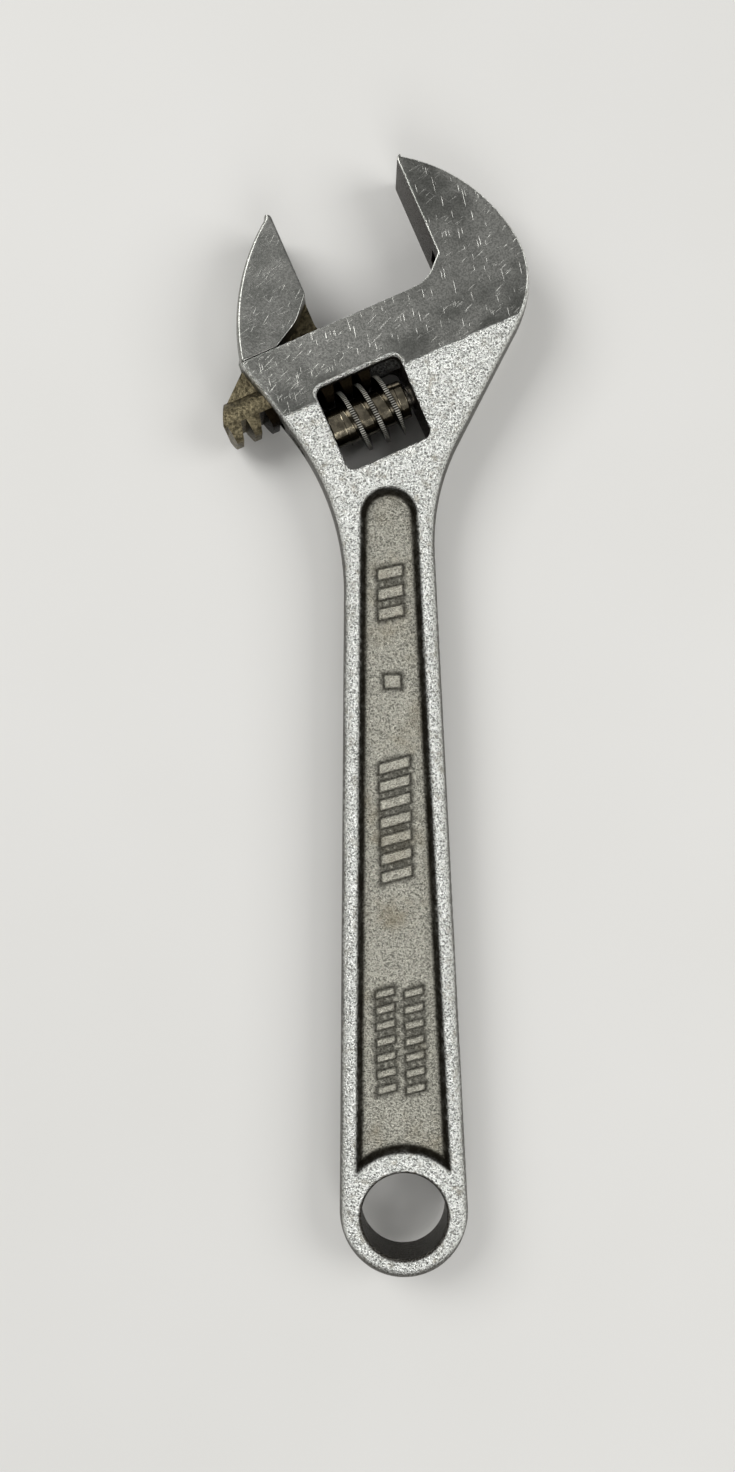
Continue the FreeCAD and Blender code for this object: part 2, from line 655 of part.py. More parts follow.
# The neck: a thin plate from the rail up into the jaw. It leans out to the rail's open end and has a
# hollow corner under the jaw's face.
neck = head_sketch(body, "neck_outline")
root = -size("rail_depth")
lap = size("neck_lap")
upright = JAW_FACE - size("neck_set_back")
flare = JAW_FACE + size("neck_flare")
toe_top = -size("neck_toe_drop")
lean_end = RAIL_START + size("rail_slant")
heel_low = -size("neck_heel_drop")
lean_low = heel_low - (JAW_HEEL - lean_end) * math.tan(math.radians(size("neck_lean")))
inner_back = JAW_HEEL + size("jaw_foot") / 5
hollow_corner = Vector(upright, lap, 0)
hollow = bend(
    hollow_corner,
    Vector(0, 1, 0),
    (Vector(flare, toe_top, 0) - hollow_corner).normalize(),
    size("neck_hollow"),
)
draw(
    neck,
    [
        Part.LineSegment(Vector(JAW_HEEL, lap, 0), Vector(JAW_HEEL, heel_low, 0)),
        Part.LineSegment(Vector(JAW_HEEL, heel_low, 0), Vector(lean_end, lean_low, 0)),
        Part.LineSegment(Vector(lean_end, lean_low, 0), Vector(lean_end, root, 0)),
        Part.LineSegment(Vector(lean_end, root, 0), Vector(flare, root, 0)),
        Part.LineSegment(Vector(flare, root, 0), Vector(flare, toe_top, 0)),
        Part.LineSegment(Vector(flare, toe_top, 0), hollow[2]),
        Part.Arc(hollow[2], hollow[1], hollow[0]),
        Part.LineSegment(hollow[0], Vector(upright, size("jaw_heel"), 0)),
        Part.LineSegment(Vector(upright, size("jaw_heel"), 0), Vector(inner_back, size("jaw_heel"), 0)),
        Part.LineSegment(Vector(inner_back, size("jaw_heel"), 0), Vector(JAW_HEEL, lap, 0)),
    ],
)
pad(body, "neck", neck, "Sheet.neck_width")

# The jaw itself: flat face, round tip, round back, and an undercut that bends back to its foot.
back_centre = (
    JAW_HEEL + math.sqrt(size("jaw_back_radius") ** 2 - size("jaw_back_depth") ** 2),
    -size("jaw_back_depth"),
)
jaw_hub, jaw_touch = tip_of(JAW_FACE, back_centre, size("jaw_back_radius"), -1)
seat = size("throat_gap")
back_foot_along = back_centre[0] - math.sqrt(size("jaw_back_radius") ** 2 - (seat - back_centre[1]) ** 2)
back_foot = Vector(back_foot_along, seat, 0)
hub = Vector(*jaw_hub, 0)
touch = Vector(*jaw_touch, 0)
heel = Vector(JAW_FACE, size("jaw_heel"), 0)
elbow = Vector(JAW_FACE - size("undercut_along"), size("undercut_rise"), 0)
toe = Vector(JAW_FACE - size("undercut_foot"), seat, 0)
at_heel = bend(heel, Vector(0, 1, 0), (elbow - heel).normalize(), size("heel_round"))
at_elbow = bend(elbow, (heel - elbow).normalize(), (toe - elbow).normalize(), size("undercut_round"))
jaw = head_sketch(body, "jaw_outline")
draw(
    jaw,
    [
        Part.LineSegment(at_heel[0], Vector(JAW_FACE, hub.y, 0)),
        arc_at(hub, Vector(JAW_FACE, hub.y, 0), touch),
        arc_at(Vector(*back_centre, 0), touch, back_foot),
        Part.LineSegment(back_foot, toe),
        Part.LineSegment(toe, at_elbow[2]),
        Part.Arc(at_elbow[2], at_elbow[1], at_elbow[0]),
        Part.LineSegment(at_elbow[0], at_heel[2]),
        Part.Arc(at_heel[2], at_heel[1], at_heel[0]),
    ],
)
pad(body, "jaw", jaw, "Sheet.head_thickness")

# The rail's open end is cut back at a slant above its axis, and its underside is flat at the rack's tips.
trim = head_sketch(body, "rail_trim")
slant_top = Vector(lean_end, -size("rail_depth") + size("rail_radius"), 0)
slant_foot = Vector(RAIL_START, -size("rail_depth") - size("neck_set_back"), 0)
outside = RAIL_START - size("rail_radius")
draw(
    trim,
    rounded(
        [
            (slant_top, 0),
            (slant_foot, 0),
            (Vector(outside, slant_foot.y, 0), 0),
            (Vector(outside, slant_top.y, 0), 0),
        ]
    ),
)
pocket(body, "rail_trim_cut", trim, midplane=True)
tips = head_sketch(body, "rack_tips")
far_low = -size("rail_depth") - 2 * size("rail_radius")
corners = [Vector(*at, 0) for at in ((outside, TIP_LINE), (0, TIP_LINE), (0, far_low), (outside, far_low))]
draw(tips, rounded([(corner, 0) for corner in corners]))
pocket(body, "rack_tips_cut", tips, midplane=True)

# The rack: straight grooves that lean as the worm's thread does where the two meet. Each groove has the
# thread's own section and thread_gap more on each side, and the first lies over a turn of the thread.
flank = math.tan(math.radians(size("flank_angle")))
tip_reach = TIP_LINE - WORM_AXIS
mesh_radius = (size("worm_radius") + tip_reach) / 2
tilt = math.degrees(math.atan(size("thread_pitch") / (2 * math.pi * mesh_radius)))
first_turn = WORM_START + size("crest_start")


def groove_half(across):
    """Half the width of a rack groove at a height across the head."""
    below_crest = size("worm_radius") - (across - WORM_AXIS)
    return size("thread_crest") / 2 + size("thread_gap") + below_crest * flank


# The grooves run from the first to the last that still cut into an end of the rail.
tip_half = groove_half(TIP_LINE)
turns_back = math.floor((first_turn + tip_half - RAIL_START) / size("thread_pitch"))
first_groove = first_turn - turns_back * size("thread_pitch")
groove_count = math.floor((RAIL_END + tip_half - first_groove) / size("thread_pitch")) + 1

groove = head_sketch(body, "rack_groove", first_groove, tilt)
root_line = WORM_AXIS + size("worm_radius") + size("rack_root_gap")
below = TIP_LINE - 1
corners = [
    Vector(-groove_half(root_line), root_line, 0),
    Vector(groove_half(root_line), root_line, 0),
    Vector(groove_half(below), below, 0),
    Vector(-groove_half(below), below, 0),
]
draw(groove, rounded([(corner, 0) for corner in corners]))
first_cut = pocket(body, "rack_groove_cut", groove, "4 * Sheet.rail_radius", midplane=True)
rack = body.newObject("PartDesign::LinearPattern", "rack")
rack.Originals = [first_cut]
rack.Direction = (neck, ["H_Axis"])
rack.setExpression("Length", "%d * Sheet.thread_pitch" % (groove_count - 1))
rack.Occurrences = groove_count
body.Tip = rack
settle(body, "rack", grows=False)

# ---------------------------------------------------------------- worm

# Worm, pin and spring are drawn about their own axis: Z along the slide, X across towards the rack.
TURNED = Rotation(ACROSS, Vector(0, 0, 1), ALONG, "ZXY")

body = new_body("worm")
blank = new_sketch(body, "worm_profile", "XZ_Plane")
length = size("worm_length")
slope = size("thread_run_out")
corners = [
    Vector(0, 0, 0),
    Vector(size("hub_radius"), 0, 0),
    Vector(size("hub_radius"), size("hub_length"), 0),
    Vector(size("worm_radius"), size("hub_length") + slope, 0),
    Vector(size("worm_radius"), length - size("hub_short") - slope, 0),
    Vector(size("hub_radius"), length - size("hub_short"), 0),
    Vector(size("hub_radius"), length, 0),
    Vector(0, length, 0),
]
draw(blank, rounded([(corner, 0) for corner in corners]))
turned = body.newObject("PartDesign::Revolution", "worm_blank")
turned.Profile = blank
turned.ReferenceAxis = (blank, ["V_Axis"])
turned.Angle = 360
settle(body, "worm_blank", grows=True)

thread = new_sketch(body, "thread_groove", "XZ_Plane")
middle = size("crest_start") - 1.5 * size("thread_pitch")
outer = size("worm_radius") + 0.5
half_outer = (size("thread_pitch") - size("thread_crest")) / 2 + 0.5 * flank
half_root = half_outer - (outer - size("worm_root")) * flank
corners = [
    Vector(size("worm_root"), middle - half_root, 0),
    Vector(outer, middle - half_outer, 0),
    Vector(outer, middle + half_outer, 0),
    Vector(size("worm_root"), middle + half_root, 0),
]
draw(thread, rounded([(corner, 0) for corner in corners]))
helix_turns = math.ceil(size("worm_length") / size("thread_pitch") + 2)
helix = body.newObject("PartDesign::SubtractiveHelix", "thread")
helix.Profile = thread
helix.ReferenceAxis = (thread, ["V_Axis"])
helix.Mode = 0
helix.setExpression("Pitch", "Sheet.thread_pitch")
helix.setExpression("Height", "%d * Sheet.thread_pitch" % helix_turns)
settle(body, "thread", grows=False)

pin_bore = new_sketch(body, "pin_bore")
draw_circle(pin_bore, "pin_bore_size", "Sheet.pin_radius + Sheet.pin_gap")
pocket(body, "pin_bore_cut", pin_bore, reversed_side=True)
spring_room = new_sketch(body, "spring_room")
spring_room.AttachmentOffset = Placement(Vector(0, 0, size("worm_length")), Rotation())
spring_room.setExpression("AttachmentOffset.Base.z", "Sheet.worm_length")
draw_circle(spring_room, "spring_room_size", "Sheet.spring_room")
pocket(body, "spring_room_cut", spring_room, "Sheet.spring_depth")
body.Placement = Placement(head_point(WORM_START, WORM_AXIS), TURNED)

# ---------------------------------------------------------------- worm_pin

open_end = in_head(crossing(OPEN_CORNER, NECK_LEFT, head_point(0, WORM_AXIS), ALONG))[0]
plug_start = open_end + size("plug_inset")
plug_end = -size("window_start") - size("plug_free")
shank_end = seat_end - size("shank_free")

body = new_body("worm_pin")
pin_profile = new_sketch(body, "pin_profile", "XZ_Plane")
plug_length = plug_end - plug_start
pin_length = shank_end - plug_start
corners = [
    Vector(0, 0, 0),
    Vector(size("plug_radius"), 0, 0),
    Vector(size("plug_radius"), plug_length, 0),
    Vector(size("pin_radius"), plug_length, 0),
    Vector(size("pin_radius"), pin_length, 0),
    Vector(0, pin_length, 0),
]
draw(pin_profile, rounded([(corner, 0) for corner in corners]))
turned = body.newObject("PartDesign::Revolution", "turned_pin")
turned.Profile = pin_profile
turned.ReferenceAxis = (pin_profile, ["V_Axis"])
turned.Angle = 360
settle(body, "turned_pin", grows=True)
slot = new_sketch(body, "driver_slot")
half_slot = size("slot_width") / 2
reach = size("plug_radius") + 1
corners = [Vector(x * half_slot, y * reach, 0) for x, y in ((-1, -1), (1, -1), (1, 1), (-1, 1))]
draw(slot, rounded([(corner, 0) for corner in corners]))
pocket(body, "driver_slot_cut", slot, "Sheet.slot_depth", reversed_side=True)
body.Placement = Placement(head_point(plug_start, WORM_AXIS), TURNED)

# ---------------------------------------------------------------- worm_spring

spring_start = WORM_START + size("worm_length") - size("spring_depth") + size("spring_free")
wire = size("wire_radius")

body = new_body("worm_spring")
wire_section = new_sketch(body, "wire_section", "XZ_Plane")
wire_section.addGeometry(
    Part.Circle(Vector(size("spring_radius"), wire, 0), Vector(0, 0, 1), wire), False
)
coil = body.newObject("PartDesign::AdditiveHelix", "coil")
coil.Profile = wire_section
coil.ReferenceAxis = (wire_section, ["V_Axis"])
coil.Mode = 0
coil_length = "(Sheet.worm_seat_gap + Sheet.spring_depth - 2 * Sheet.spring_free - 2 * Sheet.wire_radius)"
coil.setExpression("Height", coil_length)
coil.setExpression("Pitch", coil_length + " / Sheet.spring_turns")
settle(body, "coil", grows=True)
body.Placement = Placement(head_point(spring_start, WORM_AXIS), TURNED)

# ---------------------------------------------------------------- checks and files

doc.recompute()
failed = [item.Name for item in doc.Objects if "Invalid" in item.State or "Error" in item.State]
if failed:
    raise RuntimeError("failed: %s" % failed)
pieces = [item for item in doc.Objects if item.TypeId == "PartDesign::Body"]
for piece in pieces:
    shape = piece.Shape
    if shape.isNull() or not shape.isValid() or len(shape.Solids) != 1:
        raise RuntimeError("%s is not one valid solid" % piece.Label)
os.makedirs("parts", exist_ok=True)
for piece in pieces:
    piece.Shape.exportStep("parts/%s.step" % piece.Label)
    print("%s: %.1f mm3" % (piece.Label, piece.Shape.Volume))
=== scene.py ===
"""An adjustable wrench lying on a pale floor: forged body, movable jaw, worm, pin and spring.

Shapes are worked out in millimetres in the frame of the part: origin at the centre of the hang hole, +Y along
the handle, +X to the side of the fixed jaw, +Z out of the upper face. The head has a frame of its own, turned
by the slant of the jaws: "along" (p) is the way that the movable jaw slides to close, "across" (q) runs up to
the tips of the jaws, and their origin is where the throat line crosses the centre line of the handle.
"""

import logging
import math
from collections.abc import Callable
from dataclasses import dataclass, field
from enum import Enum

import bmesh
import bpy
import numpy as np
from mathutils import Matrix, Vector
from mathutils.geometry import delaunay_2d_cdt


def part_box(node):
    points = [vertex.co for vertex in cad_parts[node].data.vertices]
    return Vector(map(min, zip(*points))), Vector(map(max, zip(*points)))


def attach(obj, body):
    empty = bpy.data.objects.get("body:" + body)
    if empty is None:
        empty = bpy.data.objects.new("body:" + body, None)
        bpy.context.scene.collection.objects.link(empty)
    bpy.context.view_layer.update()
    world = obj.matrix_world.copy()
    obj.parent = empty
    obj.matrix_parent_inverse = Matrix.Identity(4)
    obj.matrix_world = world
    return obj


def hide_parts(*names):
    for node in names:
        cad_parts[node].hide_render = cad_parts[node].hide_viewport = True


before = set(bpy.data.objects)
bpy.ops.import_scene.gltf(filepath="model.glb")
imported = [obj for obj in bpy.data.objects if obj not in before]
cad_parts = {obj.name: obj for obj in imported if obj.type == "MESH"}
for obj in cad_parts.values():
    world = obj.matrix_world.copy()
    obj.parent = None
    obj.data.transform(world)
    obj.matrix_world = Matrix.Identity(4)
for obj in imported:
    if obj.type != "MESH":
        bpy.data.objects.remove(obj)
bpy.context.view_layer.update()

LOG = logging.getLogger("wrench")
MM = 0.001
Array = np.ndarray
BLOCK = 3000  # points handled at once, which bounds the memory that an array takes
TINY = 1e-12  # keeps a division from failing


# ------------------------------------------------------------------ plane geometry


def unit(degrees: float) -> Array:
    """The unit vector at an angle from the first axis, in degrees."""
    return np.array([math.cos(math.radians(degrees)), math.sin(math.radians(degrees))])


def line(start: Array, end: Array, step: float) -> Array:
    """Points along a straight run, without its end: start + t (end - start) at equal t.

    Args:
        start: First point.
        end: Last point, left out.
        step: Largest spacing.

    Returns:
        Points, one a row.
    """
    count = max(1, math.ceil(float(np.linalg.norm(end - start)) / step))
    share = np.arange(count)[:, None] / count
    return start + share * (end - start)


def arc(centre: Array, start: Array, end: Array, step: float, clockwise: bool = False) -> Array:
    """Points along an arc, without its end: centre + radius (cos a, sin a) at equal angles.

    Args:
        centre: Centre of the arc.
        start: First point.
        end: Last point, left out.
        step: Largest spacing.
        clockwise: The way round.

    Returns:
        Points, one a row.
    """
    begin = math.atan2(start[1] - centre[1], start[0] - centre[0])
    sweep = (math.atan2(end[1] - centre[1], end[0] - centre[0]) - begin) % (2 * math.pi)
    if clockwise:
        sweep -= 2 * math.pi
    radius = float(np.linalg.norm(start - centre))
    count = max(3, math.ceil(abs(sweep) * radius / step))
    angles = begin + sweep * np.arange(count) / count
    return centre + radius * np.stack([np.cos(angles), np.sin(angles)], axis=1)


def bend(corner: Array, back: Array, ahead: Array, radius: float) -> tuple[Array, Array, Array]:
    """The arc that rounds a corner between two headings that leave it.

    Args:
        corner: The sharp corner.
        back: Unit heading from the corner to where the run comes from.
        ahead: Unit heading from the corner to where it goes.
        radius: Radius of the arc.

    Returns:
        The arc's start, centre and end.
    """
    half = math.acos(float(np.clip(back @ ahead, -1, 1))) / 2
    run = radius / math.tan(half)
    middle = (back + ahead) / np.linalg.norm(back + ahead)
    return corner + back * run, corner + middle * (radius / math.sin(half)), corner + ahead * run


def crossing(point: Array, heading: Array, other: Array, other_heading: Array) -> Array:
    """The point where two lines cross, each given by a point and a heading."""
    gap = other - point
    turn = heading[0] * other_heading[1] - heading[1] * other_heading[0]
    return point + heading * ((gap[0] * other_heading[1] - gap[1] * other_heading[0]) / turn)


def corners_rounded(corners: list[tuple[Array, float]], step: float) -> Array:
    """A closed outline through corners, each rounded by its own radius.

    Args:
        corners: (corner, radius) pairs in order.
        step: Largest spacing of the points.

    Returns:
        Points round the outline, one a row.
    """
    bends = []
    for index, (corner, radius) in enumerate(corners):
        back = corners[index - 1][0] - corner
        ahead = corners[(index + 1) % len(corners)][0] - corner
        back, ahead = back / np.linalg.norm(back), ahead / np.linalg.norm(ahead)
        turn = back[0] * ahead[1] - back[1] * ahead[0]
        bends.append((bend(corner, back, ahead, radius), radius, turn > 0))
    runs = []
    for index, ((start, centre, end), radius, clockwise) in enumerate(bends):
        if radius > 0:
            runs.append(arc(centre, start, end, step, clockwise))
        runs.append(line(end, bends[(index + 1) % len(bends)][0][0], step))
    return np.concatenate(runs)


def distance_to_run(points: Array, run: Array, closed: bool = False) -> Array:
    """Shortest distance from each point to a run of straight segments.

    For a segment from a to b the nearest place is a + t (b - a), t = (x - a).(b - a) / |b - a|^2 held
    between 0 and 1.

    Args:
        points: Points, one a row.
        run: The run's points.
        closed: Whether the last point joins the first.

    Returns:
        One distance a point.
    """
    heads = np.roll(run, -1, axis=0) if closed else run[1:]
    tails = run if closed else run[:-1]
    edge = heads - tails
    length = np.maximum((edge**2).sum(axis=1), TINY)
    out = np.empty(len(points))
    for block in np.array_split(np.arange(len(points)), max(1, len(points) // BLOCK)):
        offset = points[block, None, :] - tails[None, :, :]
        share = np.clip((offset * edge).sum(axis=2) / length, 0, 1)
        out[block] = np.sqrt(((offset - share[..., None] * edge) ** 2).sum(axis=2).min(axis=1))
    return out


def inside(points: Array, outline: Array) -> Array:
    """Whether each point lies inside a closed outline, by counting the edges to its right."""
    heads = np.roll(outline, -1, axis=0)
    rise = heads[:, 1] - outline[:, 1]
    rise = np.where(np.abs(rise) < TINY, TINY, rise)
    out = np.empty(len(points), dtype=bool)
    for block in np.array_split(np.arange(len(points)), max(1, len(points) // BLOCK)):
        height = points[block, 1][:, None]
        spans = (outline[:, 1] > height) != (heads[:, 1] > height)
        at = outline[:, 0] + (height - outline[:, 1]) * (heads[:, 0] - outline[:, 0]) / rise
        out[block] = (spans & (points[block, 0][:, None] < at)).sum(axis=1) % 2 == 1
    return out


def offset_rings(run: Array, depths: Array, closed: bool) -> Array:
    """Copies of a run moved to its left by each depth, as one list of points.

    The normal at a point is the chord between its neighbours turned a quarter left.

    Args:
        run: The run's points, anticlockwise round the material.
        depths: Either one row of depths for all points, or a row of depths for each point.
        closed: Whether the last point joins the first.

    Returns:
        Points, one a row.
    """
    chord = np.roll(run, -1, axis=0) - np.roll(run, 1, axis=0)
    if not closed:
        chord[0], chord[-1] = run[1] - run[0], run[-1] - run[-2]
    normal = np.stack([-chord[:, 1], chord[:, 0]], axis=1)
    normal /= np.linalg.norm(normal, axis=1, keepdims=True)
    depths = np.atleast_2d(depths)
    return (run[:, None, :] + normal[:, None, :] * depths[..., None]).reshape(-1, 2)


def smooth(value: Array) -> Array:
    """A soft step from 0 to 1: 6 t^5 - 15 t^4 + 10 t^3, with t held between 0 and 1."""
    t = np.clip(value, 0, 1)
    return t**3 * (t * (6 * t - 15) + 10)


def quarter_round(depth: Array, height: Array, radius: Array) -> Array:
    """Height of a surface with a round edge: height - r + sqrt(r^2 - (r - depth)^2) inside the radius."""
    inner = np.clip(radius - depth, 0, radius)
    return height - radius + np.sqrt(np.maximum(radius**2 - inner**2, 0))


# ------------------------------------------------------------------ meshes


class Join(Enum):
    """How one solid is combined with another."""

    CUT = "DIFFERENCE"
    WELD = "UNION"


def solid(name: str, points: Array, faces: list[list[int]]) -> bpy.types.Object:
    """A mesh object from points in millimetres, its doubles merged and its faces turned outwards.

    Args:
        name: Name of the object.
        points: Points, one a row.
        faces: Corner numbers of each face.

    Returns:
        The object, linked to the scene.
    """
    mesh = bpy.data.meshes.new(name)
    mesh.from_pydata((points * MM).tolist(), [], faces)
    work = bmesh.new()
    work.from_mesh(mesh)
    bmesh.ops.remove_doubles(work, verts=work.verts, dist=2e-7)
    bmesh.ops.dissolve_degenerate(work, edges=work.edges, dist=1e-8)
    bmesh.ops.recalc_face_normals(work, faces=work.faces)
    work.to_mesh(mesh)
    work.free()
    thing = bpy.data.objects.new(name, mesh)
    bpy.context.scene.collection.objects.link(thing)
    return thing


def combine(target: bpy.types.Object, tool: bpy.types.Object, how: Join) -> None:
    """Cuts one solid from another or welds it on, and removes the tool.

    Args:
        target: The solid that changes.
        tool: The other solid.
        how: Cut or weld.
    """
    step = target.modifiers.new("combine", "BOOLEAN")
    step.operation = how.value
    step.solver = "MANIFOLD"
    step.object = tool
    ready = target.evaluated_get(bpy.context.evaluated_depsgraph_get())
    mesh = bpy.data.meshes.new_from_object(ready)
    target.modifiers.clear()
    old = target.data
    target.data = mesh
    mesh.name = target.name
    bpy.data.meshes.remove(old)
    shape = tool.data
    bpy.data.objects.remove(tool)
    bpy.data.meshes.remove(shape)


def shade(thing: bpy.types.Object, degrees: float) -> None:
    """Smooths the shading except over edges sharper than an angle."""
    thing.data.shade_smooth()
    thing.data.set_sharp_from_angle(angle=math.radians(degrees))


def grid_faces(rows: int, columns: int, close_rows: bool, close_columns: bool) -> list[list[int]]:
    """Four-sided faces over a grid of points.

    Args:
        rows: Rows of points.
        columns: Points in a row.
        close_rows: Whether the last row joins the first.
        close_columns: Whether each row's last point joins its first.

    Returns:
        Corner numbers of each face.
    """
    r = np.arange(rows if close_rows else rows - 1)
    c = np.arange(columns if close_columns else columns - 1)
    r, c = np.meshgrid(r, c, indexing="ij")
    near, far = r % rows, (r + 1) % rows
    here, there = c % columns, (c + 1) % columns
    near, far = near * columns, far * columns
    quads = np.stack([near + here, near + there, far + there, far + here])
    return quads.reshape(4, -1).T.tolist()


def extrude(outline: Array, low: float, high: float) -> tuple[Array, list[list[int]]]:
    """A prism over a closed outline.

    Args:
        outline: Points round it.
        low: Height of its floor.
        high: Height of its top.

    Returns:
        Its points (x, y, height) and its faces.
    """
    count = len(outline)
    floor = np.column_stack([outline, np.full(count, low)])
    top = np.column_stack([outline, np.full(count, high)])
    faces = grid_faces(2, count, False, True)
    faces.append(list(range(count))[::-1])
    faces.append(list(range(count, 2 * count)))
    return np.concatenate([floor, top]), faces


def put(thing: bpy.types.Object, name: str, values: Array) -> None:
    """Stores one number a vertex, for the material to read."""
    layer = thing.data.attributes.new(name, "FLOAT", "POINT")
    layer.data.foreach_set("value", np.ascontiguousarray(values, dtype=np.float32))


def vertices_of(thing: bpy.types.Object) -> Array:
    """A mesh's vertices in millimetres, one a row."""
    flat = np.empty(len(thing.data.vertices) * 3)
    thing.data.vertices.foreach_get("co", flat)
    return flat.reshape(-1, 3) / MM


@dataclass(frozen=True)
class Head:
    """The frame that the head is laid out in, and the sizes that its pieces share."""

    throat: float = 164.75
    slant: float = 22.5
    rail_q: float = -8.2
    rack_drop: float = 3.7
    worm_q: float = -16.2
    worm_radius: float = 6.0
    window_start: float = -18.1
    pitch: float = 3.6
    half: float = 6.2

    @property
    def along(self) -> Array:
        """The way that the movable jaw slides to close."""
        return unit(self.slant)

    @property
    def across(self) -> Array:
        """The way up to the tips of the jaws."""
        return unit(self.slant + 90)

    def place(self, local: Array) -> Array:
        """Points (p, q) or (p, q, z) of the head's frame, in the frame of the part."""
        local = np.asarray(local, dtype=float)
        flat = local[..., :1] * self.along + local[..., 1:2] * self.across + np.array([0, self.throat])
        return np.concatenate([flat, local[..., 2:]], axis=-1)

    def local(self, points: Array) -> Array:
        """Points (x, y) of the part's frame, as (p, q)."""
        offset = points[..., :2] - np.array([0, self.throat])
        return np.stack([offset @ self.along, offset @ self.across], axis=-1)

    def turned(self, axial: Array, towards_tips: Array, upward: Array, start: tuple[float, float]) -> Array:
        """Points given along a line parallel to the slide, in the frame of the part.

        Args:
            axial: Distance along the line.
            towards_tips: Distance from it towards the tips of the jaws.
            upward: Distance above it.
            start: Where the line starts, as (p, q).

        Returns:
            Points, one a row.
        """
        return self.place(np.stack([start[0] + axial, start[1] + towards_tips, upward], axis=-1))


HEAD = Head()


def revolve(
    profile: Array, start: tuple[float, float], steps: int, closed: bool
) -> tuple[Array, list[list[int]]]:
    """A surface of revolution about a line parallel to the slide.

    Each profile point (radius, axial) goes to (radius cos a, radius sin a) at every angle a.

    Args:
        profile: (radius, axial) points.
        start: Where the axis starts, as (p, q).
        steps: Points round the axis.
        closed: Whether the profile's last point joins its first.

    Returns:
        Points and faces.
    """
    angle = 2 * math.pi * np.arange(steps) / steps
    radius, axial = profile[:, :1], np.repeat(profile[:, 1:], steps, axis=1)
    points = HEAD.turned(axial, radius * np.cos(angle), radius * np.sin(angle), start)
    return points.reshape(-1, 3), grid_faces(len(profile), steps, closed, True)


def relief(
    outlines: list[Array], seeds: Array, height: Callable[[Array], Array], name: str
) -> bpy.types.Object:
    """A closed solid that is the same above and below the middle plane.

    Its upper surface is z = height(x, y) over the space inside the first outline and outside the others,
    and an upright wall joins it to its mirror image where it doesn't come down to the middle plane.

    Args:
        outlines: The outside, then each hole.
        seeds: Further points that the surface passes through, dense where it bends.
        height: Gives z for an array of points.
        name: Name of the object.

    Returns:
        The object.
    """
    clear, closest, flat_end = 0.012, 0.045, 1e-4
    edges, total = [], 0
    for outline in outlines:
        count = len(outline)
        index = np.arange(count)
        edges.append(np.stack([total + index, total + (index + 1) % count], axis=1))
        total += count
    border = np.concatenate(outlines)
    keep = inside(seeds, outlines[0])
    for hole in outlines[1:]:
        keep &= ~inside(seeds, hole)
    seeds = seeds[keep]
    gap = np.min([distance_to_run(seeds, outline, closed=True) for outline in outlines], axis=0)
    seeds = seeds[gap > clear]
    _, first = np.unique(np.round(seeds / closest).astype(int), axis=0, return_index=True)
    seeds = seeds[np.sort(first)]
    flat = np.concatenate([border, seeds])
    result = delaunay_2d_cdt([Vector(p) for p in flat], np.concatenate(edges).tolist(), [], 0, 1e-5)
    corners = np.array([tuple(v) for v in result[0]])
    faces = np.array(result[2])
    centre = corners[faces].mean(axis=1)
    keep = inside(centre, outlines[0])
    for hole in outlines[1:]:
        keep &= ~inside(centre, hole)
    faces = faces[keep]
    rise = height(corners)
    count = len(corners)
    upper = np.column_stack([corners, rise])
    lower = np.column_stack([corners, -rise])
    rim = np.concatenate([faces[:, [0, 1]], faces[:, [1, 2]], faces[:, [2, 0]]])
    _, where, times = np.unique(np.sort(rim, axis=1), axis=0, return_index=True, return_counts=True)
    rim = rim[where[times == 1]]
    rim = rim[rise[rim].max(axis=1) > flat_end]
    walls = np.stack([rim[:, 1], rim[:, 0], rim[:, 0] + count, rim[:, 1] + count], axis=1)
    every = faces.tolist() + (faces[:, ::-1] + count).tolist() + walls.tolist()
    return solid(name, np.concatenate([upper, lower]), every)


def lattice(low: Array, high: Array, step: float) -> Array:
    """A grid of points in a box: rows sqrt(3) / 2 of a step apart, every second one moved half a step."""
    row = step * 0.87
    x = np.arange(low[0], high[0], step)
    y = np.arange(low[1], high[1], row)
    gx, gy = np.meshgrid(x, y)
    gx = gx + (np.arange(len(y)) % 2)[:, None] * step / 2
    return np.stack([gx.ravel(), gy.ravel()], axis=1)


# ------------------------------------------------------------------ the forged body


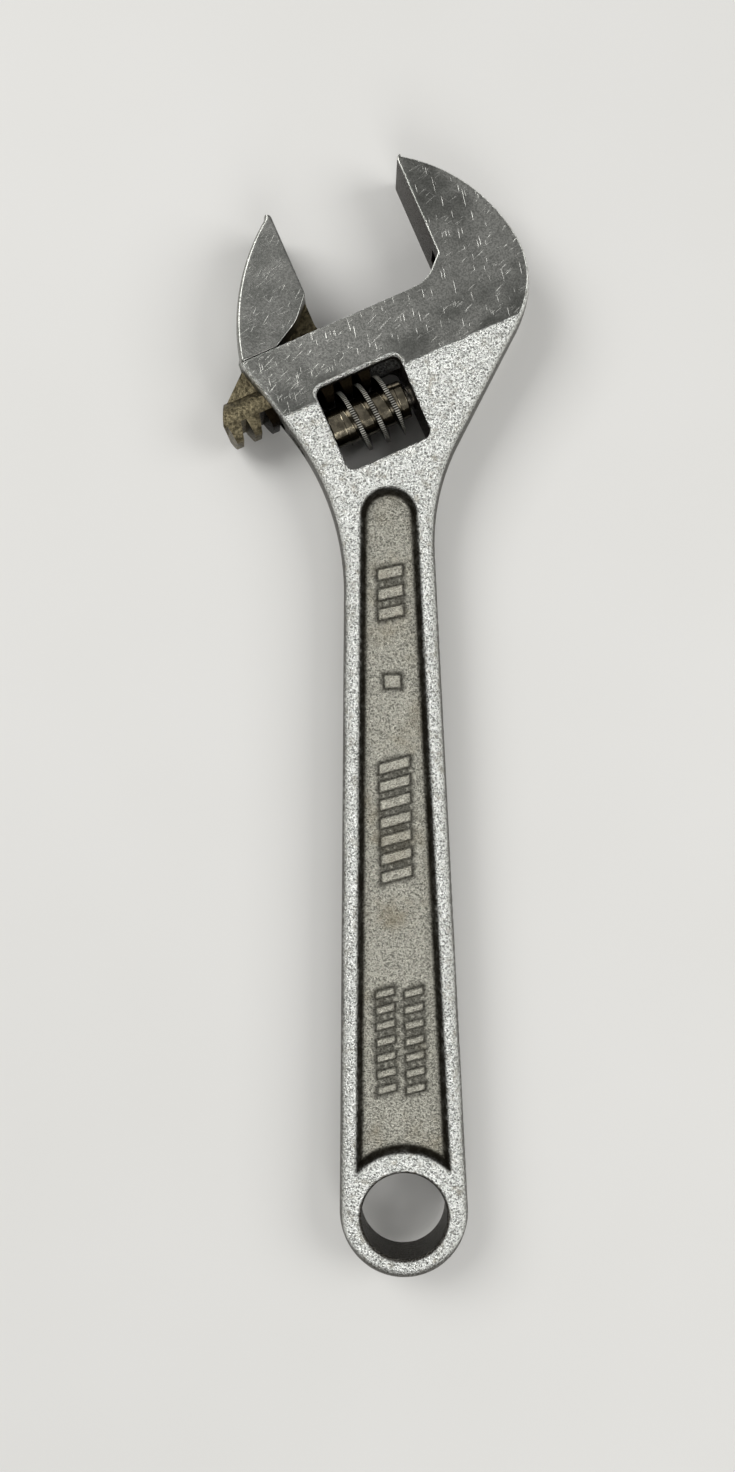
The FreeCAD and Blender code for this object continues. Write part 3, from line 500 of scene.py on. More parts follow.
@dataclass
class WrenchBody:
    """Handle, eye, neck, head and fixed jaw: one forging, machined at the jaws, window and bores."""

    eye: float = 11.75
    hang: float = 7.75
    hang_round: float = 0.72
    waist: tuple[float, float] = (8.55, 111.75)
    grip: float = 4.3
    web: float = 2.6
    rim: float = 3.2
    panel_top: float = 131.35
    land: float = 11.7
    neck_right: tuple[float, float] = (28.5, 40.0)
    neck_left: tuple[float, float] = (37.2, 48.0)
    half: float = HEAD.half
    grind: float = -11.9
    ramp: float = -49.0
    face: float = 12.15
    foot: float = 3.9
    throat_round: float = 6.0
    back: float = 30.8
    cheek: tuple[float, float, float] = (11.5, -1.0, 15.3)
    back_turn: float = 6.5
    tip_round: float = 0.9
    head_end: float = -28.6
    window: tuple[float, float, float, float] = (HEAD.window_start, -25.45, -1.7, -9.6)
    window_corner: float = 1.6
    window_round: tuple[float, float] = (0.35, 0.85)
    relief: float = 0.35
    shoulders: tuple[float, float] = (2.05, 0.9)
    shoulder_power: float = 2.45
    lip: float = 0.22
    bores: tuple[tuple[float, float, float], ...] = (
        (18.35, HEAD.rail_q, 4.3),
        (3.3, HEAD.worm_q, 2.03),
        (-17.1, HEAD.worm_q, 2.63),
    )
    slot: tuple[float, float, float] = (14.75, 5.9, 2.35)
    step: float = 0.55
    forged_run: Array = field(init=False, repr=False)
    cut_run: Array = field(init=False, repr=False)
    taper: float = field(init=False)

    def __post_init__(self) -> None:
        """Works out the outline, as its forged run and its machined run."""
        corner = np.array(self.waist)
        reach = float(np.linalg.norm(corner))
        self.taper = math.degrees(math.atan2(corner[1], corner[0]) - math.acos(self.eye / reach))
        normal = unit(self.taper)
        right = normal * self.eye
        left = right * np.array([-1, 1])
        up_right = unit(self.taper + 90)
        up_left = up_right * np.array([-1, 1])
        cheek = HEAD.place(np.array(self.cheek[:2]))
        centres = unit(HEAD.slant + self.back_turn)
        back = cheek - centres * (self.back - self.cheek[2])
        cheek_end = cheek + centres * self.cheek[2]
        neck_right = unit(90 - self.neck_right[0])
        cheek_start = cheek + unit(-self.neck_right[0]) * self.cheek[2]
        open_corner = HEAD.place(np.array([self.head_end, 0.0]))
        neck_left = unit(90 + self.neck_left[0])
        bend_r = bend(
            crossing(right, up_right, cheek_start, neck_right), -up_right, neck_right, self.neck_right[1]
        )
        bend_l = bend(
            crossing(left, up_left, open_corner, neck_left), neck_left, -up_left, self.neck_left[1]
        )
        back_local = HEAD.local(back)
        hub_p = self.face + self.tip_round
        hub_q = back_local[1] + math.sqrt((self.back - self.tip_round) ** 2 - (hub_p - back_local[0]) ** 2)
        out = np.array([hub_p, hub_q]) - back_local
        touch = back_local + out * self.back / np.linalg.norm(out)
        hub, touch = HEAD.place(np.array([hub_p, hub_q])), HEAD.place(touch)
        self.forged_run = np.concatenate(
            [
                line(open_corner, bend_l[0], self.step),
                arc(bend_l[1], bend_l[0], bend_l[2], self.step, clockwise=True),
                line(bend_l[2], left, 1.1),
                arc(np.zeros(2), left, right, self.step),
                line(right, bend_r[0], 1.1),
                arc(bend_r[1], bend_r[0], bend_r[2], self.step, clockwise=True),
                line(bend_r[2], cheek_start, self.step),
                arc(cheek, cheek_start, cheek_end, self.step),
                arc(back, cheek_end, touch, self.step),
                touch[None],
            ]
        )
        face_top = HEAD.place(np.array([self.face, hub_q]))
        foot = HEAD.place(np.array([self.face, self.foot]))
        corner = HEAD.place(np.array([self.face - self.foot, 0.0]))
        diagonal = unit(HEAD.slant + 45)
        bend_t = bend(corner, diagonal, -HEAD.along, self.throat_round)
        self.cut_run = np.concatenate(
            [
                arc(hub, touch, face_top, 0.12),
                line(face_top, foot, self.step),
                line(foot, bend_t[0], 0.4),
                arc(bend_t[1], bend_t[0], bend_t[2], 0.4, clockwise=True),
                line(bend_t[2], open_corner, self.step),
                open_corner[None],
            ]
        )

    @property
    def outline(self) -> Array:
        """The whole outline, anticlockwise."""
        return np.concatenate([self.forged_run[:-1], self.cut_run[:-1]])

    @property
    def hole(self) -> Array:
        """The hang hole's outline."""
        angles = 2 * math.pi * np.arange(96) / 96
        return self.hang * np.stack([np.cos(angles), np.sin(angles)], axis=1)

    @property
    def window_outline(self) -> Array:
        """The worm window's outline."""
        p0, q0, p1, q1 = self.window
        corners = [np.array(c) for c in ((p0, q0), (p1, q0), (p1, q1), (p0, q1))]
        return HEAD.place(corners_rounded([(c, self.window_corner) for c in corners], 0.4))

    @property
    def panel_outline(self) -> Array:
        """The recess panel's outline: two sides inside the handle's, a round top, a hollow end at the eye."""
        normal, up = unit(self.taper), unit(self.taper + 90)
        reach = self.eye - self.rim
        sine = normal[1]
        end_y = (self.panel_top - reach) / (1 - sine)
        radius = self.panel_top - end_y
        touch = np.array([0, end_y]) + normal * radius
        corner = normal * reach + up * math.sqrt(self.land**2 - reach**2)
        flip = np.array([-1, 1])
        return np.concatenate(
            [
                line(corner, touch, 1.0),
                arc(np.array([0, end_y]), touch, touch * flip, 0.35),
                line(touch * flip, corner * flip, 1.0),
                arc(np.zeros(2), corner * flip, corner, 0.5, clockwise=True),
            ]
        )

    def marks(self) -> list[Array]:
        """The raised marks on the panel's floor: plain leaning bars in four groups.

        Returns:
            The four corners of each mark.
        """
        length = self.panel_top - self.land
        # Share of the panel's length, places across, count, spacing, width, height and lean of each group.
        groups = (
            (0.845, (0.0,), 3, 3.6, 4.6, 2.0, 0.9),
            (0.71, (0.0,), 1, 0.0, 3.0, 2.4, 0.0),
            (0.50, (0.0,), 7, 3.3, 5.6, 1.9, 1.4),
            (0.165, (-2.6, 2.6), 7, 2.9, 3.4, 1.3, 0.8),
        )
        square = np.array([(-1, -1), (1, -1), (1, 1), (-1, 1)]) / 2
        shapes = []
        for share, places, count, spacing, width, height, lean in groups:
            for index in range(count):
                rise = self.land + length * share + (index - (count - 1) / 2) * spacing
                for place in places:
                    skew = square[:, 0] * lean
                    shapes.append(
                        np.stack([place + square[:, 0] * width, rise + square[:, 1] * height + skew], axis=1)
                    )
        return shapes

    def mark_depth(self, points: Array) -> Array:
        """How far each point lies inside the nearest mark, less than 0 outside.

        That is the soft least of its distances d to the sides: -log(sum of exp(-k d)) / k.
        """
        far, reach, k = -9.0, 6.0, 8.0
        best = np.full(len(points), far)
        for corners in self.marks():
            near = np.abs(points - corners.mean(axis=0)).max(axis=1) < reach
            edge = np.roll(corners, -1, axis=0) - corners
            normal = np.stack([-edge[:, 1], edge[:, 0]], axis=1)
            normal /= np.linalg.norm(normal, axis=1, keepdims=True)
            offset = points[near][:, None, :] - corners[None]
            depth = (offset * normal).sum(axis=2)
            soft = -np.log(np.exp(-depth * k).sum(axis=1)) / k
            best[near] = np.maximum(best[near], soft)
        return best

    def panel_depth(self, points: Array) -> Array:
        """Distance inside the recess panel's outline, less than 0 outside it."""
        run = self.panel_outline
        distance = distance_to_run(points, run, closed=True)
        return np.where(inside(points, run), distance, -distance)

    def window_gap(self, points: Array) -> Array:
        """Distance outside the worm window: to a rectangle shrunk by the corner radius, less the radius."""
        local = HEAD.local(points)
        p0, q0, p1, q1 = self.window
        centre = np.array([(p0 + p1) / 2, (q0 + q1) / 2])
        spread = np.array([(p1 - p0) / 2, (q1 - q0) / 2]) - self.window_corner
        away = np.abs(local - centre) - spread
        beyond = np.linalg.norm(np.maximum(away, 0), axis=1)
        return beyond + np.minimum(away.max(axis=1), 0) - self.window_corner

    def base_height(self, points: Array) -> Array:
        """The forging's half thickness before its edges are rounded.

        The handle's, then a hollow arc of radius R from ramp up: grip + R - sqrt(R^2 - (q - ramp)^2), and
        the ground faces above the grinding line.
        """
        q = HEAD.local(points)[:, 1]
        run, rise = self.grind - self.ramp, self.half - self.grip
        radius = (run**2 + rise**2) / (2 * rise)
        t = np.clip(q - self.ramp, 0, run)
        return self.grip + radius - np.sqrt(radius**2 - t**2)

    def shoulder_width(self, points: Array) -> Array:
        """How wide the forged edge's rounding is: broad on the handle, narrow where the head is ground."""
        broad, narrow = self.shoulders
        start, length = -34.0, 24.0
        share = smooth((HEAD.local(points)[:, 1] - start) / length)
        return broad - (broad - narrow) * share

    def height(self, points: Array) -> Array:
        """Half the body's thickness at each point.

        Forged edges follow h (1 - (1 - d/w)^n)^(1/n) at a distance d from the outline, machined ones a
        small quarter round. The panel's wall is a soft step between rim and floor, and the marks stand on
        the floor.
        """
        base = self.base_height(points)
        forged = distance_to_run(points, self.forged_run)
        cut = distance_to_run(points, self.cut_run)
        width = self.shoulder_width(points)
        power = self.shoulder_power
        edge = base * (1 - (1 - np.clip(forged / width, 0, 1)) ** power) ** (1 / power)
        lip = quarter_round(cut, base, np.full(len(points), self.lip))
        eye_gap = np.linalg.norm(points, axis=1) - self.hang
        ring = quarter_round(eye_gap, base, np.full(len(points), self.hang_round))
        low, high = self.window_round
        sill = low + (high - low) * smooth((HEAD.local(points)[:, 1] + 13.5) / 4)
        frame_edge = quarter_round(self.window_gap(points), base, sill)
        z = np.minimum.reduce([edge, lip, ring, frame_edge])
        panel = self.panel_depth(points)
        step = smooth((panel + 0.75) / 1.75)
        step = step * (0.55 + 0.45 * step)
        floor = self.web + self.relief * smooth(self.mark_depth(points) / 0.3 + 0.35)
        return z + (np.minimum(floor - base, 0)) * step

    def seeds(self) -> Array:
        """Points that the surface passes through: rings along every edge, and a grid between them."""
        share = np.array([0.0, 0.012, 0.05, 0.115, 0.2, 0.31, 0.44, 0.6, 0.8, 1.0, 1.12])
        depths = share[None, :] * self.shoulder_width(self.forged_run)[:, None]
        window = self.window_outline[::-1]
        marks = [corners_rounded([(c, 0.12) for c in corners], 0.3) for corners in self.marks()]
        parts = [
            offset_rings(self.forged_run, depths, closed=False),
            offset_rings(self.cut_run, np.array([0.03, 0.1, 0.22, 0.4]), closed=False),
            offset_rings(self.hole[::-1], np.array([0.03, 0.12, 0.25, 0.42, 0.6, 0.72, 1.0]), closed=True),
            offset_rings(
                window, np.array([0.02, 0.07, 0.15, 0.25, 0.36, 0.48, 0.62, 0.78, 0.95]), closed=True
            ),
            offset_rings(
                self.panel_outline,
                np.array([-0.9, -0.72, -0.5, -0.3, -0.1, 0.1, 0.3, 0.5, 0.7, 0.85, 1.0, 1.25]),
                closed=True,
            ),
            lattice(np.array([-24.0, -12.0]), np.array([34.0, 192.0]), 1.25),
        ]
        parts += [offset_rings(mark, np.array([-0.3, -0.12, 0.05, 0.22]), closed=True) for mark in marks]
        return np.concatenate(parts)

    def cutters(self) -> list[bpy.types.Object]:
        """The solids that the rail's bore, the neck's slot and the pin's holes are cut with."""
        far, steps = -60.0, 96
        tools = []
        for p, q, radius in self.bores:
            profile = np.array([(0, 0), (radius, 0), (radius, far - p), (0, far - p)])
            points, faces = revolve(profile, (p, q), steps, False)
            tools.append(solid("bore", points, faces))
        end, top, half = self.slot
        slot = np.array([(far, HEAD.rail_q), (end, HEAD.rail_q), (end, top), (far, top)])
        points, faces = extrude(slot, -half, half)
        tools.append(solid("slot", HEAD.place(points), faces))
        return tools

    def build(self) -> bpy.types.Object:
        """Makes the forging, machines it, and stores what its finish needs to know."""
        body = relief(
            [self.outline, self.hole, self.window_outline], self.seeds(), self.height, "wrench_forging"
        )
        for tool in self.cutters():
            combine(body, tool, Join.CUT)
        shade(body, 38)
        points = vertices_of(body)
        flat, level = points[:, :2], np.abs(points[:, 2])
        top = self.height(flat)
        panel = self.panel_depth(flat)
        marks = self.mark_depth(flat)
        in_panel = smooth((panel + 0.1) / 0.6)
        # step_line and mark_line mark painted shade, near black, along the recess's step and round the edges
        # of the marks.
        step_line = smooth((panel + 0.6) / 0.6) * (1 - smooth((panel - 0.55) / 0.95))
        mark_line = np.exp(-(((marks + 0.16) / 0.3) ** 2)) * (panel > 1)
        forged = distance_to_run(flat, self.forged_run)
        cut = distance_to_run(flat, self.cut_run)
        gap = self.window_gap(flat)
        # Walls of the bores, window and jaw faces, and a ring round the hang hole, get near-black brown
        # painted shade.
        bored = ((top - level) > 0.25) & (forged > 0.6)
        wall = (cut < 0.015) & (level > 5)
        frame_wall = gap < 0.015
        eye_gap = np.linalg.norm(flat, axis=1) - self.hang
        hole_wall = 1 - smooth((eye_gap - 0.3) / 0.45)
        put(body, "floor", in_panel)
        put(body, "recess_shade", np.clip(step_line + 0.85 * mark_line, 0, 1))
        put(body, "mark", smooth(marks / 0.2) * (panel > 1))
        # Painted shade on the outer shoulders of the forged outline, reaching further in towards the eye's
        # lower end.
        reach = self.shoulder_width(flat) * (0.38 + 0.85 * smooth((-flat[:, 1] - 1) / 10))
        put(body, "side", 1 - smooth((forged / reach - 0.4) / 0.6))
        put(body, "inner", np.maximum.reduce([bored * 1.0, frame_wall * 1.0, wall * 1.0, hole_wall * 0.93]))
        return body


# ------------------------------------------------------------------ the movable jaw


@dataclass
class MovableJaw:
    """Jaw, neck, round rail and rack in one piece."""

    face: float = -12.6
    heel_q: float = 6.7
    foot_length: float = 15.9
    back: float = 36.9
    back_depth: float = 7.6
    undercut: tuple[float, float, float] = (8.4, 3.4, 2.8)
    undercut_round: float = 7.0
    heel_round: float = 1.2
    seat: float = 0.12
    half: float = HEAD.half
    tip_round: float = 0.9
    back_edge: tuple[float, float] = (0.95, 2.5)
    lip: float = 0.2
    rail: float = 4.2
    rail_q: float = HEAD.rail_q
    rail_reach: float = 7.0
    rail_lead: float = 5.6
    rail_slant: float = 1.8
    neck_half: float = 2.2
    neck_lean: float = 41.0
    neck_flare: float = 3.5
    crest: float = 1.1
    gap: float = 0.2
    flank: float = 11.8
    pitch: float = HEAD.pitch
    back_run: Array = field(init=False, repr=False)
    cut_run: Array = field(init=False, repr=False)

    def __post_init__(self) -> None:
        """Works out the jaw's outline in the head's frame."""
        heel = self.face - self.foot_length
        centre = np.array([heel + math.sqrt(self.back**2 - self.back_depth**2), -self.back_depth])
        hub_p = self.face - self.tip_round
        hub_q = centre[1] + math.sqrt((self.back - self.tip_round) ** 2 - (hub_p - centre[0]) ** 2)
        hub = np.array([hub_p, hub_q])
        touch = centre + (hub - centre) * self.back / np.linalg.norm(hub - centre)
        foot_p = centre[0] - math.sqrt(self.back**2 - (self.seat - centre[1]) ** 2)
        back_foot = np.array([foot_p, self.seat])
        heel_at = np.array([self.face, self.heel_q])
        elbow = np.array([self.face - self.undercut[1], self.undercut[2]])
        toe = np.array([self.face - self.undercut[0], self.seat])
        down = (elbow - heel_at) / np.linalg.norm(elbow - heel_at)
        out = (toe - elbow) / np.linalg.norm(toe - elbow)
        at_heel = bend(heel_at, np.array([0.0, 1.0]), down, self.heel_round)
        at_elbow = bend(elbow, -down, out, self.undercut_round)
        face_top = np.array([self.face, hub_q])
        self.back_run = np.concatenate([arc(centre, touch, back_foot, 0.5), back_foot[None]])
        self.cut_run = np.concatenate(
            [
                line(back_foot, toe, 0.5),
                line(toe, at_elbow[2], 0.4),
                arc(at_elbow[1], at_elbow[2], at_elbow[0], 0.3),
                line(at_elbow[0], at_heel[2], 0.4),
                arc(at_heel[1], at_heel[2], at_heel[0], 0.2),
                line(at_heel[0], face_top, 0.5),
                arc(hub, face_top, touch, 0.12),
                touch[None],
            ]
        )

    def height(self, points: Array) -> Array:
        """Half the jaw's thickness: a broad round along its forged back, a small one round its cut edges."""
        back = distance_to_run(points, self.back_run)
        cut = distance_to_run(points, self.cut_run)
        width, power = self.back_edge
        edge = self.half * (1 - (1 - np.clip(back / width, 0, 1)) ** power) ** (1 / power)
        lip = quarter_round(cut, np.full(len(points), self.half), np.full(len(points), self.lip))
        return np.minimum(edge, lip)

    def jaw(self) -> bpy.types.Object:
        """The jaw itself."""
        share = np.array([0.012, 0.05, 0.115, 0.2, 0.31, 0.44, 0.6, 0.8, 0.95, 1.1])
        seeds = np.concatenate(
            [
                offset_rings(self.back_run, share * self.back_edge[0], closed=False),
                offset_rings(self.cut_run, np.array([0.03, 0.09, 0.2, 0.4]), closed=False),
                lattice(np.array([-29.0, 0.0]), np.array([-12.0, 30.0]), 0.9),
            ]
        )
        outline = np.concatenate([self.back_run[:-1], self.cut_run[:-1]])
        jaw = relief([outline], seeds, self.height, "jaw_forging")
        points = vertices_of(jaw)
        placed = HEAD.place(points)
        jaw.data.vertices.foreach_set("co", (placed * MM).ravel())
        return jaw

    def neck(self) -> bpy.types.Object:
        """The thin plate from the rail up into the jaw."""
        heel = self.face - self.foot_length
        lean_end = heel - self.rail_reach + self.rail_slant
        lean_low = -0.4 - (heel - lean_end) * math.tan(math.radians(self.neck_lean))
        upright, flare = self.face - 0.3, self.face + 2.0
        corner = np.array([upright, 1.0])
        ahead = np.array([flare, -1.2]) - corner
        ahead /= np.linalg.norm(ahead)
        start, centre, end = bend(corner, np.array([0.0, 1.0]), ahead, self.neck_flare)
        lower = [(heel + 3.2, self.heel_q), (heel, 1.0), (heel, -0.4), (lean_end, lean_low)]
        lower += [(lean_end, self.rail_q), (flare, self.rail_q), (flare, -1.2)]
        outline = np.concatenate([np.array(lower), arc(centre, end, start, 0.4, clockwise=True), start[None]])
        outline = np.concatenate([outline, np.array([(upright, self.heel_q)])])
        points, faces = extrude(outline, -self.neck_half, self.neck_half)
        return solid("neck", HEAD.place(points), faces)

    def grooves(self) -> bpy.types.Object:
        """The cutter for the rack: a row of straight grooves that lean as the worm's thread does."""
        worm_q, worm_r, flank = HEAD.worm_q, HEAD.worm_radius, math.tan(math.radians(self.flank))
        tip_q = self.rail_q - HEAD.rack_drop
        reach = tip_q - worm_q
        tilt = math.atan(self.pitch / (math.pi * (worm_r + reach)))
        end_gap, far_reach = 0.12, 1.1
        first = HEAD.window_start + end_gap + self.gap
        start = self.face - self.foot_length - self.rail_reach
        first -= math.ceil((first - start) / self.pitch) * self.pitch
        count = math.floor((self.face + self.rail_lead + far_reach - first) / self.pitch) + 1
        root_q, below_q = self.rail_q - 0.8, tip_q - 1.0
        half = self.crest / 2 + self.gap + (worm_r - (np.array([root_q, below_q]) - worm_q)) * flank
        section = np.array([(-half[0], root_q), (-half[1], below_q), (half[1], below_q), (half[0], root_q)])
        block, faces = extrude(section, -9.0, 9.0)
        leaned = np.column_stack(
            [
                block[:, 0] * math.cos(tilt) + block[:, 2] * math.sin(tilt),
                block[:, 1],
                -block[:, 0] * math.sin(tilt) + block[:, 2] * math.cos(tilt),
            ]
        )
        moves = first + self.pitch * np.arange(count)
        rows = leaned[None] + moves[:, None, None] * np.array([1.0, 0.0, 0.0])
        shifts = len(block) * np.arange(count)
        every = [[corner + shift for corner in face] for shift in shifts.tolist() for face in faces]
        return solid("grooves", HEAD.place(rows.reshape(-1, 3)), every)

    def rail_bar(self) -> bpy.types.Object:
        """The round rail, cut back at its open end and flat at the tips of the rack."""
        start = self.face - self.foot_length - self.rail_reach
        length = self.foot_length + self.rail_reach + self.rail_lead
        r, c = self.rail, 0.35
        profile = np.array([(0, 0), (r - c, 0), (r, c), (r, length - c), (r - c, length), (0, length)])
        points, faces = revolve(profile, (start, self.rail_q), 128, False)
        bar = solid("rail", points, faces)
        top, foot = self.rail_q + r + 0.1, self.rail_q - 0.3
        trim = np.array([(start + self.rail_slant, top), (start - 5, top), (start - 5, foot), (start, foot)])
        points, faces = extrude(trim, -8, 8)
        combine(bar, solid("trim", HEAD.place(points), faces), Join.CUT)
        low = self.rail_q - HEAD.rack_drop
        tips = np.array([(start - 5, low), (start - 5, low - 5), (5.0, low - 5), (5.0, low)])
        points, faces = extrude(tips, -8, 8)
        combine(bar, solid("tips", HEAD.place(points), faces), Join.CUT)
        combine(bar, self.grooves(), Join.CUT)
        return bar

    def build(self) -> bpy.types.Object:
        """Welds jaw, neck and rail, and stores where the rail and neck are."""
        jaw = self.jaw()
        combine(jaw, self.neck(), Join.WELD)
        combine(jaw, self.rail_bar(), Join.WELD)
        shade(jaw, 35)
        points = vertices_of(jaw)
        local = HEAD.local(points)
        by_face = np.abs(local[:, 0] + 16) < 6.5
        plate = (np.abs(points[:, 2]) < 2.4) & (local[:, 1] < self.heel_q) & by_face
        # The finish paints the rail, rack and neck plate near black as shade, and lighter brown where lit: at
        # the rail's open end and, half as much, on the neck.
        put(jaw, "inner", (local[:, 1] < -0.02) | plate)
        lit_end_and_neck = smooth((-27.6 - local[:, 0]) / 2.5)
        put(jaw, "lit_end_and_neck", np.maximum(lit_end_and_neck, 0.5 * smooth((local[:, 1] + 3) / 2)))
        return jaw


# ------------------------------------------------------------------ worm, pin and spring


@dataclass
class Worm:
    """The threaded screw between two plain hubs, bored for its pin, with a pocket for the spring."""

    start: tuple[float, float] = (-17.98, HEAD.worm_q)
    length: float = 15.0
    pitch: float = HEAD.pitch
    outer: float = HEAD.worm_radius
    root: float = 3.6
    hub: float = 3.5
    thread: tuple[float, float] = (2.6, 13.5)
    run_out: float = 1.0
    crest: float = 0.75
    flank: float = 13.0
    first: float = 0.2
    bore: float = 2.1
    pocket: tuple[float, float] = (2.95, 4.0)

    def radius(self, axial: Array, angle: Array) -> Array:
        """The worm's radius at a place along it and an angle round it.

        The distance e to the middle of the nearest crest is measured along the axis, where crests lie at
        first + pitch (angle / full turn + k). The radius falls from crest to root over the flank, and
        isn't more than the slopes at the thread's ends allow.
        """
        phase = (axial - self.first - self.pitch * angle / (2 * math.pi)) % self.pitch
        e = np.minimum(phase, self.pitch - phase)
        fall = (self.outer - self.root) * math.tan(math.radians(self.flank))
        share = np.clip((e - self.crest / 2) / fall, 0, 1)
        rounded = share - 0.08 * np.sin(2 * math.pi * share)
        thread = self.outer - (self.outer - self.root) * np.clip(rounded, 0, 1)
        near = (axial - self.thread[0]) / self.run_out
        far = (self.thread[1] - axial) / self.run_out
        slope = self.hub + (self.outer - self.hub) * smooth(np.minimum(near, far))
        return np.minimum(thread, slope)

    def build(self) -> bpy.types.Object:
        """A closed grid: the outside over (axial, angle), the two ends, the pocket and the bore."""
        steps = 180
        angle = 2 * math.pi * np.arange(steps) / steps
        axial = np.concatenate([[0.0, 0.08, 0.2], np.linspace(0.3, self.length - 0.3, 250)])
        axial = np.concatenate([axial, self.length - np.array([0.2, 0.08, 0.0])])
        s, a = np.meshgrid(axial, angle, indexing="ij")
        r = self.radius(s, a)
        ease = np.minimum(np.minimum(s, self.length - s) / 0.3, 1.0)
        r = r - 0.3 * (1 - np.sqrt(np.clip(1 - (1 - ease) ** 2, 0, 1)))
        inner = np.array(
            [
                (self.pocket[0], self.length),
                (self.pocket[0], self.length - self.pocket[1]),
                (self.bore, self.length - self.pocket[1]),
                (self.bore, 0.0),
            ]
        )
        r = np.concatenate([r, np.repeat(inner[:, :1], steps, axis=1)])
        s = np.concatenate([s, np.repeat(inner[:, 1:], steps, axis=1)])
        a = np.broadcast_to(angle, r.shape)
        points = HEAD.turned(s, r * np.cos(a), r * np.sin(a), self.start).reshape(-1, 3)
        worm = solid("worm_screw_thread", points, grid_faces(len(r), steps, True, True))
        shade(worm, 40)
        found = vertices_of(worm)
        local = HEAD.local(found)
        out = np.hypot(local[:, 1] - self.start[1], found[:, 2])
        put(worm, "crest", smooth((out - 5.7) / 0.25))
        # depth is 1 on the roots and hubs; where it falls to 0 on the flanks the finish paints shade, near
        # black, with old oil.
        put(worm, "depth", smooth((4.6 - out) / 0.9))
        return worm


@dataclass
class WormPin:
    """The turned pin that the worm runs on, with a screwdriver slot in its plug."""

    plug: float = 2.6
    shank: float = 2.0
    slot: tuple[float, float] = (0.45, 1.1)

    def build(self) -> bpy.types.Object:
        """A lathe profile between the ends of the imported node, with small chamfers, and its slot."""
        low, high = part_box("worm_pin")
        centre = (np.array(low) + np.array(high)) / 2 / MM
        middle = float(HEAD.local(centre[None, :2])[0, 0])
        corner = np.array(high[:2]) / MM - np.array(low[:2]) / MM
        length = (corner[0] + (self.plug + self.shank) * HEAD.across[0]) / HEAD.along[0]
        begin = middle - length / 2
        plug_end = HEAD.window_start - 0.6 - begin
        c = 0.2
        profile = np.array(
            [
                (0, 0), (self.plug - c, 0), (self.plug, c), (self.plug, plug_end), (self.shank, plug_end),
                (self.shank, length - c), (self.shank - c, length), (0, length),
            ]
        )
        points, faces = revolve(profile, (begin, HEAD.worm_q), 96, False)
        pin = solid("pin_turned", points, faces)
        half, depth = self.slot
        box = np.array([(-0.5, -4.0), (depth, -4.0), (depth, 4.0), (-0.5, 4.0)])
        block, faces = extrude(box, -half, half)
        placed = HEAD.turned(block[:, 0], block[:, 2], block[:, 1], (begin, HEAD.worm_q))
        combine(pin, solid("driver", placed, faces), Join.CUT)
        shade(pin, 30)
        return pin


@dataclass
class WormSpring:
    """The coil that presses the worm on the window's wall."""

    radius: float = 2.5
    wire: float = 0.22
    turns: float = 3.5
    span: tuple[float, float] = (-6.93, -1.75)

    def build(self) -> bpy.types.Object:
        """A tube along a helix: centre (R cos a, R sin a, pitch a), section in the plane of its normal."""
        around, along = 12, 240
        a = np.linspace(0, 2 * math.pi * self.turns, along)[:, None]
        b = 2 * math.pi * np.arange(around)[None, :] / around
        length = self.span[1] - self.span[0] - 2 * self.wire
        rise = self.wire + length * a / (2 * math.pi * self.turns)
        r = self.radius + self.wire * np.cos(b)
        s = rise + self.wire * np.sin(b)
        points = HEAD.turned(s, r * np.cos(a), r * np.sin(a), (self.span[0], HEAD.worm_q)).reshape(-1, 3)
        faces = grid_faces(along, around, False, True)
        faces.append(list(range(around)))
        faces.append(list(range((along - 1) * around, along * around))[::-1])
        spring = solid("spring_coil", points, faces)
        shade(spring, 60)
        return spring


# ------------------------------------------------------------------ finishes


COLOURS = {"data_type": "RGBA"}
NUMBERS = {"data_type": "FLOAT"}
TIMES = {"operation": "MULTIPLY"}
PLUS = {"operation": "ADD"}
SOFT = {"interpolation_type": "SMOOTHSTEP"}
ROUGH = 0.6  # of every noise: how strong its finer layers are
Tree = bpy.types.NodeTree
Node = bpy.types.Node


def linear(code: str) -> tuple[float, float, float, float]:
    """A hex sRGB colour as linear red, green, blue and 1."""
    parts = [int(code[i : i + 2], 16) / 255 for i in (1, 3, 5)]
    red, green, blue = (c / 12.92 if c <= 0.04045 else ((c + 0.055) / 1.055) ** 2.4 for c in parts)
    return red, green, blue, 1.0


def add(tree: Tree, kind: str, settings: dict, inputs: dict) -> Node:
    """Adds a node.

    Args:
        tree: The material's nodes.
        kind: The node's type, without the words that all of them start with.
        settings: Its properties by name.
        inputs: Its sockets by name, or by number where several share a name. Each is a value, the socket
            that feeds it, or the node whose first live output feeds it.

    Returns:
        The node.
    """
    node = tree.nodes.new("ShaderNode" + kind)
    for name, value in settings.items():
        setattr(node, name, value)
    live = {socket.name: socket for socket in node.inputs if socket.enabled}
    for name, value in inputs.items():
        socket = node.inputs[name] if isinstance(name, int) else live[name]
        if isinstance(value, Node):
            value = next(output for output in value.outputs if output.enabled)
        if isinstance(value, bpy.types.NodeSocket):
            tree.links.new(value, socket)
        else:
            socket.default_value = value
    return node


def per_mm(size: float) -> float:
    """A texture's scale for features of a size in millimetres, where coordinates are in metres."""
    return 1 / (size * MM)


